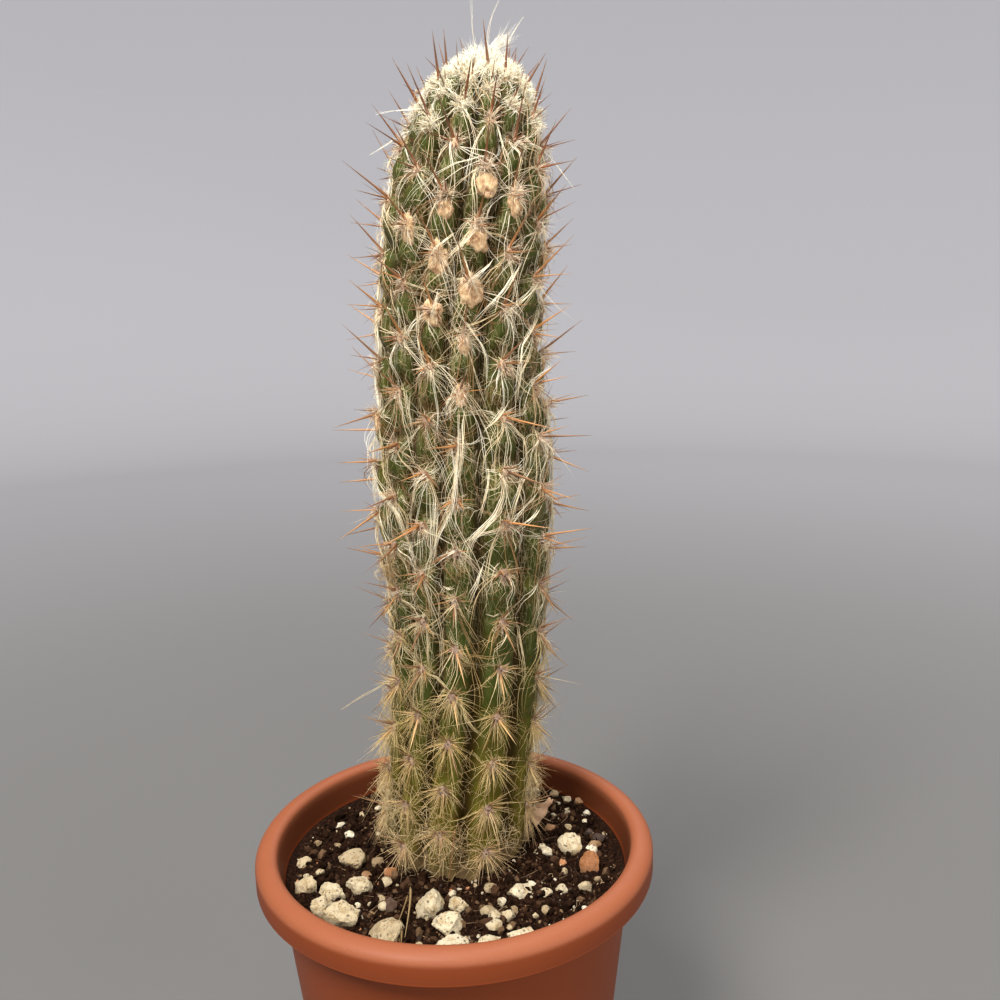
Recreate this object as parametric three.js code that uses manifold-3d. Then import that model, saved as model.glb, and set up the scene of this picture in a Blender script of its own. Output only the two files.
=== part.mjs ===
import * as THREE from 'three';
import { mergeVertices } from 'three/addons/utils/BufferGeometryUtils.js';
import Module from 'manifold-3d';

// A woolly column cactus in a plastic flower pot. Millimetres, +Z up, seen from -Y.
// The origin is the middle of the pot's foot, on the surface that it stands on.

// Pot
const potHeight = 145;
const rimRadius = 85;            // outside of the rolled rim, at its widest
const rimDrop = 4.8;             // from the rim's top down to where its side turns upright
const rimWidth = 9.6;            // from the rim's upright side in to its inner edge
const rimCrest = 3.4;            // from the inner edge out to the rim's highest line
const collarDepth = 12.6;        // from the rim's top down to the collar's lower edge
const collarThickness = 2.4;
const grooveDepth = 5;           // the hollow behind the collar, from its lower edge up
const wallTopRadius = 75.5;      // outside of the wall, level with the collar's lower edge
const footRadius = 61;
const wallThickness = 2.3;
const footRise = 4;              // from the ground up to the floor's underside
const footWidth = 6;
const floorThickness = 2.6;
const floorTop = footRise + floorThickness;
const innerCorner = 3;           // slope between the floor and the wall inside
const drainRadius = 5;
const drainRing = 34;
const drainCount = 5;
const drainSides = 12;
const potSides = 48;

// Soil and gravel
const soilDrop = 13;             // from the rim's top down to the soil
const soilLevel = potHeight - soilDrop;
const soilGap = 0.4;
const holeGap = 0.45;
const soilBump = 1.1;
const soilRings = 4;
const gravelCount = 46;          // small stones, strewn by rule
const gravelReach = 69;
const gravelClear = 4;           // between the stem and the nearest small stone
const fineStoneWidth = 12;       // from this width up a stone has more faces
const stoneSunk = 0.12;          // share of its height that a stone's middle lies below the soil

// The larger stones: left or right, front or back, width, height
const largeStones = [
  [-46, 2, 14, 9], [-41, -20, 12, 8], [-62, -18, 11, 8], [-51, -24, 11, 8],
  [-55, -34, 11, 8], [-46, -41, 15, 10], [-28, -53, 16, 11], [-12, -37, 14, 12],
  [0, -38, 9, 8], [-4, -49, 14, 9], [-2, -63, 13, 7], [11, -60, 10, 7],
  [24, -59, 11, 7], [26, -30, 12, 8], [51, 4, 12, 9], [57, -14, 10, 9],
  [41, 37, 9, 6], [53, -29, 7, 6],
];

// Column
const footX = 1;                 // the stem's foot stands this far right of the pot's middle
const stemBack = 13;             // and this far behind it
const midLean = 8;               // how far the axis moves right in its lower part
const midLeanHeight = 110;
const tipLean = 11;
const tipLeanStart = 200;
const tipLeanSpan = 120;
const stemHeight = 328;          // above the soil
const stemRadius = 31.7;         // over the ribs' crests, where the column is plain
const bellyHeight = 157;
const bellySwell = 3.7;
const bellySpreadBelow = 38;
const bellySpreadAbove = 50;
const footPinch = 1.7;
const footPinchHeight = 10;
const crownStart = 262;
const rootDepth = 42;
const rootRadius = 30;
const rootSteps = [70, 38, 0];   // degrees below the soil on the root's egg
const tipFlat = 0.4;             // the growing tip is a little flatter than the crown's egg

// Ribs. Those that face the front have their directions in degrees from the front towards
// the right, at three heights. The other ribs share the back evenly.
const ribCount = 12;
const ribHeights = [30, 165, 280];
const ribTopHeight = 300;        // the ribs run straight from here to the tip
const frontRibs = [
  [-77, -52, -42],
  [-46, -28, -16],
  [-15, -6, 9],
  [21, 25, 33],
  [69, 61, 60],
];
const ribDepth = 6;
const ribFadeLow = 2;            // the ribs begin here above the soil
const ribFadeHigh = 34;          // and have their full depth here
const fullRibRadius = 26;        // on a narrower crown they are shallower
const columnsPerRib = 4;
const stemColumns = ribCount * columnsPerRib;

// Columns of corners from a rib's crest over its flank and the valley to the next flank:
// their share of the rib's depth, and of the dip above each areole
const valleyShare = [0, 0.27, 1, 0.27];
const noseShare = [1, 0.8, 0.15, 0.8];

// Areoles and spines
const areoleStep = 20.4;         // along a rib; each rib is half a step off its neighbours
const firstAreole = 22;          // above the soil, on every other rib
const lowestAreole = 8;
const rowStep = areoleStep / 4;
const plainHeight = 100;         // below this the ribs are nearly plain and need fewer rows
const tightenHeight = 284;       // from here to the tip the areoles close up
const tightenRate = 0.93;        // from one row to the next
const lastRowRadius = 10.5;
const areoleRadius = 1.25;
const fullAreoleRadius = 20;     // nearer the axis than this the areoles are smaller
const noseDropLow = 0.9;         // how far a rib dips above each areole, near the soil
const noseDropHigh = 2.9;        // and in the upper half
const noseHeights = [90, 190];   // the dip deepens between these
const mainSpine = 18;
const mainPlace = 4;             // the side of an areole that the main spine stands on
const secondSpine = 12.5;
const secondPlace = 1;
const sideSpine = 8.5;
const bareRadius = 12.5;         // no spines nearer the axis than this, under the wool

// Wool on the tip
const woolGap = 0.35;
const woolRadius = 10.5;
const woolThickness = 5;
const woolSides = 16;
const woolTuft = 10;
const tuftFoot = 0.55;           // a tuft's foot, as a share of the triangle under it
const tuftRoot = 12;             // the tufts spread from this far below the tip
const tuftLean = new THREE.Vector3(0.25, 0, 0.5);
const bareShare = 0.35;          // share of the cap's triangles that have no tuft

const wasm = await Module();
wasm.setup();

function bareGeometry(geometry) {
  geometry.deleteAttribute('normal');
  geometry.deleteAttribute('uv');
  return mergeVertices(geometry, 1e-3);
}

function toSolid(geometry) {
  const bare = bareGeometry(geometry);
  return new wasm.Manifold(new wasm.Mesh({
    numProp: 3,
    vertProperties: Float32Array.from(bare.attributes.position.array),
    triVerts: Uint32Array.from(bare.index.array),
  }));
}

function toGeometry(solid) {
  const mesh = solid.getMesh();
  return closedGeometry(mesh.vertProperties, mesh.triVerts);
}

function closedGeometry(positions, faces) {
  const geometry = new THREE.BufferGeometry();
  geometry.setAttribute('position', new THREE.Float32BufferAttribute(positions, 3));
  geometry.setIndex(Array.from(faces));
  geometry.computeVertexNormals();
  return geometry;
}

// Gathers the corners and triangles of a surface. With a base it numbers its corners as the
// base does and adds them there, but keeps its triangles to itself.
function newShell(base) {
  const positions = base ? base.positions : [];
  const faces = [];
  const corner = (point) => positions.push(point.x, point.y, point.z) / 3 - 1;
  const point = (id) => new THREE.Vector3(...positions.slice(3 * id, 3 * id + 3));
  const middle = (a, b, c) => point(a).add(point(b)).add(point(c)).divideScalar(3);
  const face = (a, b, c) => faces.push([a, b, c]);
  const ring = (sides, place) => Array.from({ length: sides }, (unused, side) => corner(place(side)));
  const band = (low, high) => low.forEach((id, side) => {
    const next = (side + 1) % low.length;
    face(id, low[next], high[next]);
    face(id, high[next], high[side]);
  });
  const close = (round, end, below) => {
    const tip = corner(end);
    round.forEach((id, side) => {
      const next = round[(side + 1) % round.length];
      face(below ? next : id, below ? id : next, tip);
    });
  };
  const triangles = () => faces;
  const geometry = () => closedGeometry(positions, faces.flat());
  return { positions, corner, point, middle, face, ring, band, close, triangles, geometry };
}

// The same draw from 0 to 1 each time for the same three whole numbers.
function draw(a, b, c) {
  let h = Math.imul(a + 11, 374761393) ^ Math.imul(b + 29, 668265263) ^ Math.imul(c + 47, 974634777);
  h = Math.imul(h ^ (h >>> 13), 1274126177);
  h = Math.imul(h ^ (h >>> 16), 374761393);
  return ((h ^ (h >>> 15)) >>> 0) / 4294967296;
}

function smooth(from, to, value) {
  return THREE.MathUtils.smoothstep(value, from, to);
}

// The pot's wall tapers in a straight line from the collar's lower edge to the foot.
function wallRadius(z) {
  return footRadius + (wallTopRadius - footRadius) * z / (potHeight - collarDepth);
}

// Half the pot's section, from the middle of its underside round to the middle of its floor.
function potProfile() {
  const innerEdge = rimRadius - rimWidth;
  const collarEdge = potHeight - collarDepth;
  const grooveTop = collarEdge + grooveDepth;
  const crest = innerEdge + rimCrest;
  const outside = [
    [0, footRise], [footRadius - footWidth, footRise], [footRadius - footWidth + 0.8, 0],
    [footRadius - 1.2, 0], [wallRadius(2), 2], [wallRadius(grooveTop), grooveTop],
    [rimRadius - collarThickness - 0.8, grooveTop], [rimRadius - collarThickness, collarEdge],
    [rimRadius - 0.5, collarEdge],
  ];
  const roll = [0, 1, 2, 3, 4].map((step) => {
    const turn = step / 4 * Math.PI / 2;
    const z = potHeight - rimDrop + rimDrop * Math.sin(turn);
    return [crest + (rimRadius - crest) * Math.cos(turn), z];
  });
  const inside = [
    [innerEdge + 1, potHeight - 1.1], [innerEdge, potHeight - 3.4],
    [wallRadius(collarEdge) - wallThickness, collarEdge],
    [wallRadius(floorTop + innerCorner) - wallThickness, floorTop + innerCorner],
    [wallRadius(floorTop) - wallThickness - innerCorner, floorTop], [0, floorTop],
  ];
  return [...outside, ...roll, ...inside].map(([r, z]) => new THREE.Vector2(r, z));
}

function makePot() {
  const shell = new THREE.LatheGeometry(potProfile(), potSides);
  shell.rotateX(Math.PI / 2);
  let pot = toSolid(shell);
  for (let i = 0; i < drainCount; i += 1) {
    const turn = i / drainCount * Math.PI * 2;
    const drain = new THREE.CylinderGeometry(drainRadius, drainRadius, 3 * footRise, drainSides);
    drain.rotateX(Math.PI / 2);
    drain.translate(drainRing * Math.cos(turn), drainRing * Math.sin(turn), footRise);
    pot = pot.subtract(toSolid(drain));
  }
  return toGeometry(pot);
}

// The stem's axis leans to the right, straightens halfway up and leans again near the tip.
function axisX(height) {
  const tip = Math.max(0, (height - tipLeanStart) / tipLeanSpan);
  return footX + midLean * smooth(0, midLeanHeight, height) + tipLean * tip * tip;
}

// Radius over the ribs' crests below the crown.
function columnRadius(height) {
  const spread = height < bellyHeight ? bellySpreadBelow : bellySpreadAbove;
  const belly = bellySwell * Math.exp(-(((height - bellyHeight) / spread) ** 2));
  return stemRadius + belly - footPinch * Math.exp(-Math.max(height, 0) / footPinchHeight);
}

// The crown is the upper end of an egg; turn runs from 0 at its widest to a quarter at the tip.
const crownWide = columnRadius(crownStart);
const crownTall = stemHeight - crownStart;

function crownHeight(turn) {
  return crownStart + crownTall * Math.sin(turn);
}

function crownSlope(turn) {
  return Math.atan2(Math.sin(turn) / crownTall, Math.cos(turn) / crownWide);
}

// A point round the stem's axis; its direction is 0 at the front and grows to the right.
function aroundStem(height, radius, angle, rise = 0) {
  return new THREE.Vector3(
    axisX(height) + radius * Math.sin(angle),
    stemBack - radius * Math.cos(angle),
    soilLevel + height + rise,
  );
}

// A front rib's direction in degrees, on a smooth curve through its three measured ones.
function frontRib(angles, height) {
  const [a, b, c] = ribHeights;
  return angles[0] * (height - b) * (height - c) / ((a - b) * (a - c))
    + angles[1] * (height - a) * (height - c) / ((b - a) * (b - c))
    + angles[2] * (height - a) * (height - b) / ((c - a) * (c - b));
}

// Direction of any rib's crest in radians.
function ribTurn(rib, height) {
  const level = THREE.MathUtils.clamp(height, 0, ribTopHeight);
  const round = Math.floor(rib / ribCount);
  const index = rib - round * ribCount;
  const last = frontRibs.length - 1;
  const from = frontRib(frontRibs[Math.min(index, last)], level);
  const to = frontRib(frontRibs[0], level) + 360;
  const share = Math.max(0, index - last) / (ribCount - last);
  return THREE.MathUtils.degToRad(THREE.MathUtils.lerp(from, to, share) + 360 * round);
}

// Direction of a column of corners, which lie evenly from one rib's crest to the next.
function columnTurn(column, height) {
  const rib = Math.floor(column / columnsPerRib);
  const share = column / columnsPerRib - rib;
  return THREE.MathUtils.lerp(ribTurn(rib, height), ribTurn(rib + 1, height), share);
}

// Rows of the column from the soil to the tip: a count in quarters of an areole's step,
// height, crest radius, the slope of the surface, and the distance to the next quarter.
function stemRows() {
  const rows = [];
  let beat = -3;
  let height = firstAreole + beat * rowStep;
  while (height < crownStart) {
    rows.push({ beat, height, radius: columnRadius(height), slope: 0, step: rowStep });
    const jump = height < plainHeight && beat % 2 === 0 ? 2 : 1;
    beat += jump;
    height += jump * rowStep;
  }
  let turn = Math.asin((height - crownStart) / crownTall);
  let step = rowStep;
  while (crownWide * Math.cos(turn) > lastRowRadius) {
    const radius = crownWide * Math.cos(turn);
    step = crownHeight(turn) > tightenHeight ? step * tightenRate : step;
    rows.push({ beat, height: crownHeight(turn), radius, slope: crownSlope(turn), step });
    turn += step / Math.hypot(crownWide * Math.sin(turn), crownTall * Math.cos(turn));
    beat += 1;
  }
  return rows;
}

// How far the surface dips above an areole; share runs from 0 at one areole to 1 at the next.
function noseDrop(height, share) {
  const depth = THREE.MathUtils.lerp(noseDropLow, noseDropHigh, smooth(...noseHeights, height));
  return depth * (smooth(0, 0.24, share) - smooth(0.2, 0.85, share));
}

// Quarters of a step from a row down to the nearest areole of a rib; 0 is on an areole.
function beatsPastAreole(row, rib) {
  return (((row.beat - 2 * (rib % 2)) % 4) + 4) % 4;
}

function hasAreole(row, rib) {
  return row.height > lowestAreole && row.radius > bareRadius && beatsPastAreole(row, rib) === 0;
}

// One corner of the ribbed surface.
function stemPoint(row, column) {
  const part = column % columnsPerRib;
  const nearestRib = Math.floor(column / columnsPerRib) + (part > columnsPerRib / 2 ? 1 : 0);
  const narrow = Math.min(1, row.radius / fullRibRadius);
  const valley = ribDepth * smooth(ribFadeLow, ribFadeHigh, row.height) * narrow * valleyShare[part];
  const dip = noseDrop(row.height, beatsPastAreole(row, nearestRib) / 4) * noseShare[part];
  const inward = valley + dip * row.step / rowStep;
  const radius = row.radius - inward * Math.cos(row.slope);
  return aroundStem(row.height, radius, columnTurn(column, row.height), -inward * Math.sin(row.slope));
}

// A spine's length and how steeply it stands off the surface, for one of an areole's six places.
function spineShape(row, rib, place) {
  const chance = draw(rib, row.beat, place);
  const crown = smooth(0.3, 0.9, row.slope);
  if (place === mainPlace) {
    return { length: mainSpine * (0.82 + 0.3 * chance), lift: 72 + 10 * chance };
  }
  if (place === secondPlace) {
    const length = secondSpine * (0.8 + 0.4 * chance);
    return { length: THREE.MathUtils.lerp(length, mainSpine * 0.8, crown), lift: 58 + 24 * crown };
  }
  const tight = 0.35 + 0.65 * row.step / rowStep;
  return { length: sideSpine * (0.8 + 0.4 * chance) * tight, lift: 30 + 14 * chance };
}

// A spine's tip: it leans from the areole's middle towards its own foot, and out of the surface.
function spineTip(foot, centre, out, shape) {
  const lean = foot.clone().sub(centre);
  lean.addScaledVector(out, -lean.dot(out)).normalize();
  const lift = THREE.MathUtils.degToRad(shape.lift);
  return foot.clone()
    .addScaledVector(out, shape.length * Math.sin(lift))
    .addScaledVector(lean, shape.length * Math.cos(lift));
}

// Six spines on the six triangles between an areole's middle and the corners round it.
function addSpines(shell, id, round, row, rib) {
  const angle = ribTurn(rib, row.height);
  const level = Math.cos(row.slope);
  const out = new THREE.Vector3(level * Math.sin(angle), -level * Math.cos(angle), Math.sin(row.slope));
  const centre = shell.point(id);
  round.forEach((a, place) => {
    const b = round[(place + 1) % round.length];
    const foot = shell.middle(a, b, id);
    const tip = shell.corner(spineTip(foot, centre, out, spineShape(row, rib, place)));
    shell.face(id, a, tip);
    shell.face(a, b, tip);
    shell.face(b, id, tip);
  });
}

// Gives every areole its six corners, each towards a neighbour in the grid, and its spines.
// The result leads from an areole's middle corner to the six.
function addAreoles(shell, grid, rows, rootRings) {
  const neighbours = [[0, 1], [1, 1], [1, 0], [0, -1], [-1, -1], [-1, 0]];
  const areoles = new Map();
  rows.forEach((row, index) => {
    const level = index + rootRings;
    const size = areoleRadius * Math.min(1, row.radius / fullAreoleRadius);
    for (let rib = 0; rib < ribCount; rib += 1) {
      const column = rib * columnsPerRib;
      const id = grid[level][column];
      if (hasAreole(row, rib)) {
        const centre = shell.point(id);
        const round = neighbours.map(([up, right]) => {
          const side = (column + right + stemColumns) % stemColumns;
          const towards = shell.point(grid[level + up][side]).sub(centre).normalize();
          return shell.corner(centre.clone().addScaledVector(towards, size));
        });
        areoles.set(id, round);
        addSpines(shell, id, round, row, rib);
      }
    }
  });
  return areoles;
}

// A triangle of the grid, cut back where one of its corners is an areole's middle.
// The places say which side of the areole the triangle lies on, for each of its corners.
function addCutFace(shell, areoles, corners, places) {
  const index = corners.findIndex((id) => areoles.has(id));
  if (index < 0) {
    shell.face(...corners);
    return;
  }
  const round = areoles.get(corners[index]);
  const next = corners[(index + 1) % 3];
  const last = corners[(index + 2) % 3];
  const place = places[index];
  shell.face(round[place], next, last);
  shell.face(round[place], last, round[(place + 1) % 6]);
}

// The root below the soil is the lower half of a plain round egg.
function rootRows(gap) {
  return rootSteps.map((degrees) => {
    const turn = THREE.MathUtils.degToRad(degrees);
    return {
      height: -(rootDepth + gap) * Math.sin(turn),
      radius: (rootRadius + gap) * Math.cos(turn),
    };
  });
}

function makeStem() {
  const shell = newShell();
  const rows = stemRows();
  const root = rootRows(0).map((row) => shell.ring(stemColumns, (column) => {
    return aroundStem(0, row.radius, columnTurn(column, 0), row.height);
  }));
  const body = rows.map((row) => shell.ring(stemColumns, (column) => stemPoint(row, column)));
  const grid = [...root, ...body];
  const areoles = addAreoles(shell, grid, rows, root.length);
  for (let level = 0; level < grid.length - 1; level += 1) {
    for (let column = 0; column < stemColumns; column += 1) {
      const next = (column + 1) % stemColumns;
      const [a, b] = [grid[level][column], grid[level][next]];
      const [d, c] = [grid[level + 1][column], grid[level + 1][next]];
      addCutFace(shell, areoles, [a, b, c], [0, 2, 4]);
      addCutFace(shell, areoles, [a, c, d], [1, 3, 5]);
    }
  }
  shell.close(grid[grid.length - 1], aroundStem(stemHeight, 0, 0, -tipFlat), false);
  shell.close(grid[0], aroundStem(0, 0, 0, -rootDepth), true);
  return shell.geometry();
}

// The bumps of the soil's surface.
function soilBumps(x, y) {
  return soilBump * (Math.sin(x * 0.21 + 1.3) * Math.cos(y * 0.17 - 0.4)
    + 0.6 * Math.sin(x * 0.43 - y * 0.37 + 2.1));
}

// The soil fills the pot, and has a plain round hole for the root.
function makeSoilBody() {
  const shell = newShell();
  const circle = (x, y, radius, z) => (side) => {
    const turn = side / potSides * Math.PI * 2;
    return new THREE.Vector3(x + radius * Math.cos(turn), y + radius * Math.sin(turn), z);
  };
  const wall = (z) => wallRadius(z) - wallThickness - soilGap;
  const hole = (row) => circle(axisX(0), stemBack, row.radius, soilLevel + row.height);
  const floor = floorTop + soilGap;
  const holeRows = rootRows(holeGap).reverse();
  const edge = circle(0, 0, wall(soilLevel), soilLevel);
  const mouth = hole(holeRows[0]);
  const rings = [
    shell.ring(potSides, circle(0, 0, wall(floor) - innerCorner, floor)),
    shell.ring(potSides, circle(0, 0, wall(floor + innerCorner), floor + innerCorner)),
  ];
  for (let i = 0; i <= soilRings; i += 1) {
    const share = i / soilRings;
    rings.push(shell.ring(potSides, (side) => {
      const point = edge(side).lerp(mouth(side), share);
      point.z += Math.sin(share * Math.PI) * soilBumps(point.x, point.y);
      return point;
    }));
  }
  holeRows.slice(1).forEach((row) => rings.push(shell.ring(potSides, hole(row))));
  rings.slice(1).forEach((ring, index) => shell.band(rings[index], ring));
  shell.close(rings[0], new THREE.Vector3(0, 0, floor), true);
  shell.close(rings[rings.length - 1], aroundStem(0, 0, 0, -rootDepth - holeGap), false);
  return shell.geometry();
}

// A broken stone: a ball of few faces with every corner pushed in or out by its own draw.
function makeStone([x, y, width, height], seed, detail) {
  const stone = bareGeometry(new THREE.IcosahedronGeometry(1, detail));
  const position = stone.attributes.position;
  const corner = new THREE.Vector3();
  for (let i = 0; i < position.count; i += 1) {
    corner.fromBufferAttribute(position, i).multiplyScalar(0.86 + 0.28 * draw(seed, i, 1));
    position.setXYZ(i, corner.x, corner.y, corner.z);
  }
  stone.rotateX(draw(seed, 1, 2) * Math.PI * 2);
  stone.rotateZ(draw(seed, 2, 2) * Math.PI * 2);
  const long = width / 2 * (0.9 + 0.2 * draw(seed, 3, 2));
  const short = width / 2 * (0.85 + 0.2 * draw(seed, 4, 2));
  stone.scale(long, short, height / 2);
  stone.translate(x, y, soilLevel + soilBumps(x, y) * 0.7 - stoneSunk * height);
  return stone;
}

// Small stones lie everywhere between the stem and the wall, most of them at the front.
function gravelPlaces() {
  const places = [];
  for (let seed = 0; places.length < gravelCount; seed += 1) {
    const x = (draw(seed, 5, 7) * 2 - 1) * gravelReach;
    const y = (draw(seed, 6, 7) ** 1.3 * 2 - 1) * gravelReach;
    const width = 3 + 3.6 * draw(seed, 7, 7) ** 2;
    const fromStem = Math.hypot(x - axisX(0), y - stemBack);
    const clear = [...largeStones, ...places].every(([otherX, otherY, otherWidth]) => {
      return Math.hypot(x - otherX, y - otherY) > (otherWidth + width) * 0.52;
    });
    const inPot = Math.hypot(x, y) < gravelReach - width / 2;
    if (clear && inPot && fromStem > rootRadius + gravelClear + width / 2) {
      places.push([x, y, width, width * 0.75]);
    }
  }
  return places;
}

function makeSoil() {
  let soil = toSolid(makeSoilBody());
  largeStones.forEach((stone, index) => {
    const detail = stone[2] < fineStoneWidth ? 0 : 1;
    soil = soil.add(toSolid(makeStone(stone, index, detail)));
  });
  gravelPlaces().forEach((stone, index) => {
    soil = soil.add(toSolid(makeStone(stone, largeStones.length + index, 0)));
  });
  return toGeometry(soil);
}

// A point over the crown, lifted off its surface.
function overCrown(turn, angle, lift) {
  const slope = crownSlope(turn);
  const radius = crownWide * Math.cos(turn) + lift * Math.cos(slope);
  return aroundStem(crownHeight(turn), radius, angle, lift * Math.sin(slope));
}

// A tuft: the triangle that it stands on is drawn in to a narrow foot, then out to a tip.
function addTuft(shell, corners, root, index) {
  const middle = shell.middle(...corners);
  const foot = corners.map((id) => shell.corner(shell.point(id).lerp(middle, 1 - tuftFoot)));
  const lean = middle.clone().sub(root).normalize().add(tuftLean).normalize();
  const length = woolTuft * (0.35 + 0.75 * draw(index, 4, 41));
  const tip = shell.corner(middle.clone().addScaledVector(lean, length));
  corners.forEach((id, side) => {
    const next = (side + 1) % 3;
    shell.face(id, corners[next], foot[next]);
    shell.face(id, foot[next], foot[side]);
    shell.face(foot[side], foot[next], tip);
  });
}

// The wool sits on the tip like a cap, tufted above and following the crown below.
function makeWool() {
  const shell = newShell();
  const edge = Math.acos(woolRadius / crownWide);
  const ring = (share, thickness) => shell.ring(woolSides, (side) => {
    const turn = THREE.MathUtils.lerp(edge, Math.PI / 2, share);
    const lump = 0.7 + 0.6 * draw(side, Math.round(share * 10), 31);
    return overCrown(turn, side / woolSides * Math.PI * 2, woolGap + thickness * lump);
  });
  const under = [0.7, 0.35, 0].map((share) => ring(share, 0));
  const over = [0, 0.15, 0.4, 0.7].map((share) => ring(share, woolThickness * (0.3 + 0.7 * share)));
  under.slice(1).forEach((next, index) => shell.band(under[index], next));
  shell.band(under[under.length - 1], over[0]);
  shell.close(under[0], overCrown(Math.PI / 2, 0, woolGap), true);
  const top = newShell(shell);
  over.slice(1).forEach((next, index) => top.band(over[index], next));
  top.close(over[over.length - 1], overCrown(Math.PI / 2, 0, woolThickness), false);
  const root = aroundStem(stemHeight, 0, 0, -tuftRoot);
  top.triangles().forEach((corners, index) => {
    if (draw(index, 3, 41) < bareShare) {
      shell.face(...corners);
    } else {
      addTuft(shell, corners, root, index);
    }
  });
  return shell.geometry();
}

function piece(name, geometry, color, roughness) {
  const material = new THREE.MeshStandardMaterial({ color, roughness, metalness: 0 });
  const mesh = new THREE.Mesh(geometry, material);
  mesh.name = name;
  return mesh;
}

const cactus = new THREE.Group();
cactus.add(piece('pot', makePot(), 0xb5603f, 0.45));
cactus.add(piece('soil', makeSoil(), 0x2a211c, 0.95));
cactus.add(piece('stem', makeStem(), 0x4f6a3a, 0.6));
cactus.add(piece('crown_wool', makeWool(), 0xefe9da, 0.95));

export default cactus;
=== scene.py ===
from math import asin, cos, hypot, pi, radians, sin, sqrt, tau

import bpy
import numpy as np
from mathutils import Euler, Matrix, Vector, noise


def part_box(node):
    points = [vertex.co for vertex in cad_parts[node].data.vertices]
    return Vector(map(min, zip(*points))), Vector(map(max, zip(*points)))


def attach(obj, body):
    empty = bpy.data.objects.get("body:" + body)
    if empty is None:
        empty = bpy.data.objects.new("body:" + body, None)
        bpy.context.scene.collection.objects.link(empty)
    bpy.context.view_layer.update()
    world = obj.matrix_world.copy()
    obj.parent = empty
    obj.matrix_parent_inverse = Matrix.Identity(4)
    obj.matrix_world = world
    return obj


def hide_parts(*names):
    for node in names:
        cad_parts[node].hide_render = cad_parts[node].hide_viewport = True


# A woolly column cactus in a plastic flower pot. Lengths are millimetres until a piece is made.
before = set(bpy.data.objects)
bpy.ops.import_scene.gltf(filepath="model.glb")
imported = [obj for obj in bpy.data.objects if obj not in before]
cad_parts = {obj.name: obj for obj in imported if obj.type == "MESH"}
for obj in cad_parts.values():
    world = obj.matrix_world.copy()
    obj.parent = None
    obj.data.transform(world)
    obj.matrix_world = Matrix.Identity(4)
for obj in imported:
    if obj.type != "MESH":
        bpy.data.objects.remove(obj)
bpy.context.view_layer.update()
mm = 0.001
rng = np.random.default_rng(3520)
print("frame loaded")


# Reckoning

def smooth(low, high, value):
    share = np.clip((value - low) / (high - low), 0, 1)
    return share * share * (3 - 2 * share)


def mix(a, b, share):
    return a + (b - a) * share


def draw(a, b, c):  # the same number from 0 to 1 for the same three whole numbers
    top = 2 ** 32
    h = ((a + 11) * 374761393 ^ (b + 29) * 668265263 ^ (c + 47) * 974634777) % top
    h = (h ^ h >> 13) * 1274126177 % top
    h = (h ^ h >> 16) * 374761393 % top
    return (h ^ h >> 15) / top


def spread(low, high, size=None):  # even random numbers between two limits
    return rng.uniform(low, high, size)


def jitter(size=None):  # random numbers that gather round 0
    return rng.normal(size=size)


def unit(vectors):
    return vectors / (np.linalg.norm(vectors, axis=-1, keepdims=True) + 1e-9)


# Camera, at the photograph's viewing angle

cameraSet = dict(lens=37.8, sensor=36, place=(0, -412.1, 386), tiltDown=12.947, turnRight=3.208, roll=-1.417)


def makeCamera():
    c = cameraSet
    turn = Euler((radians(90 - c["tiltDown"]), 0, -radians(c["turnRight"]))).to_matrix()
    turn = turn @ Matrix.Rotation(radians(c["roll"]), 3, "Z")
    bpy.ops.object.camera_add(location=Vector(c["place"]) * mm, rotation=turn.to_euler())
    camera = bpy.context.object
    camera.data.lens = c["lens"]
    camera.data.sensor_width = c["sensor"]
    bpy.context.scene.camera = camera
    print("camera placed")


# Materials. A Wire is a socket that can be reckoned with, and a Finish is a material being wired.

class Wire:
    def __init__(self, finish, socket):
        self.finish = finish
        self.socket = socket

    def __add__(self, other):
        return self.finish.math("ADD", self, other)

    def __sub__(self, other):
        return self.finish.math("SUBTRACT", self, other)

    def __rsub__(self, other):
        return self.finish.math("SUBTRACT", other, self)

    def __mul__(self, other):
        return self.finish.math("MULTIPLY", self, other)

    __radd__ = __add__
    __rmul__ = __mul__


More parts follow.
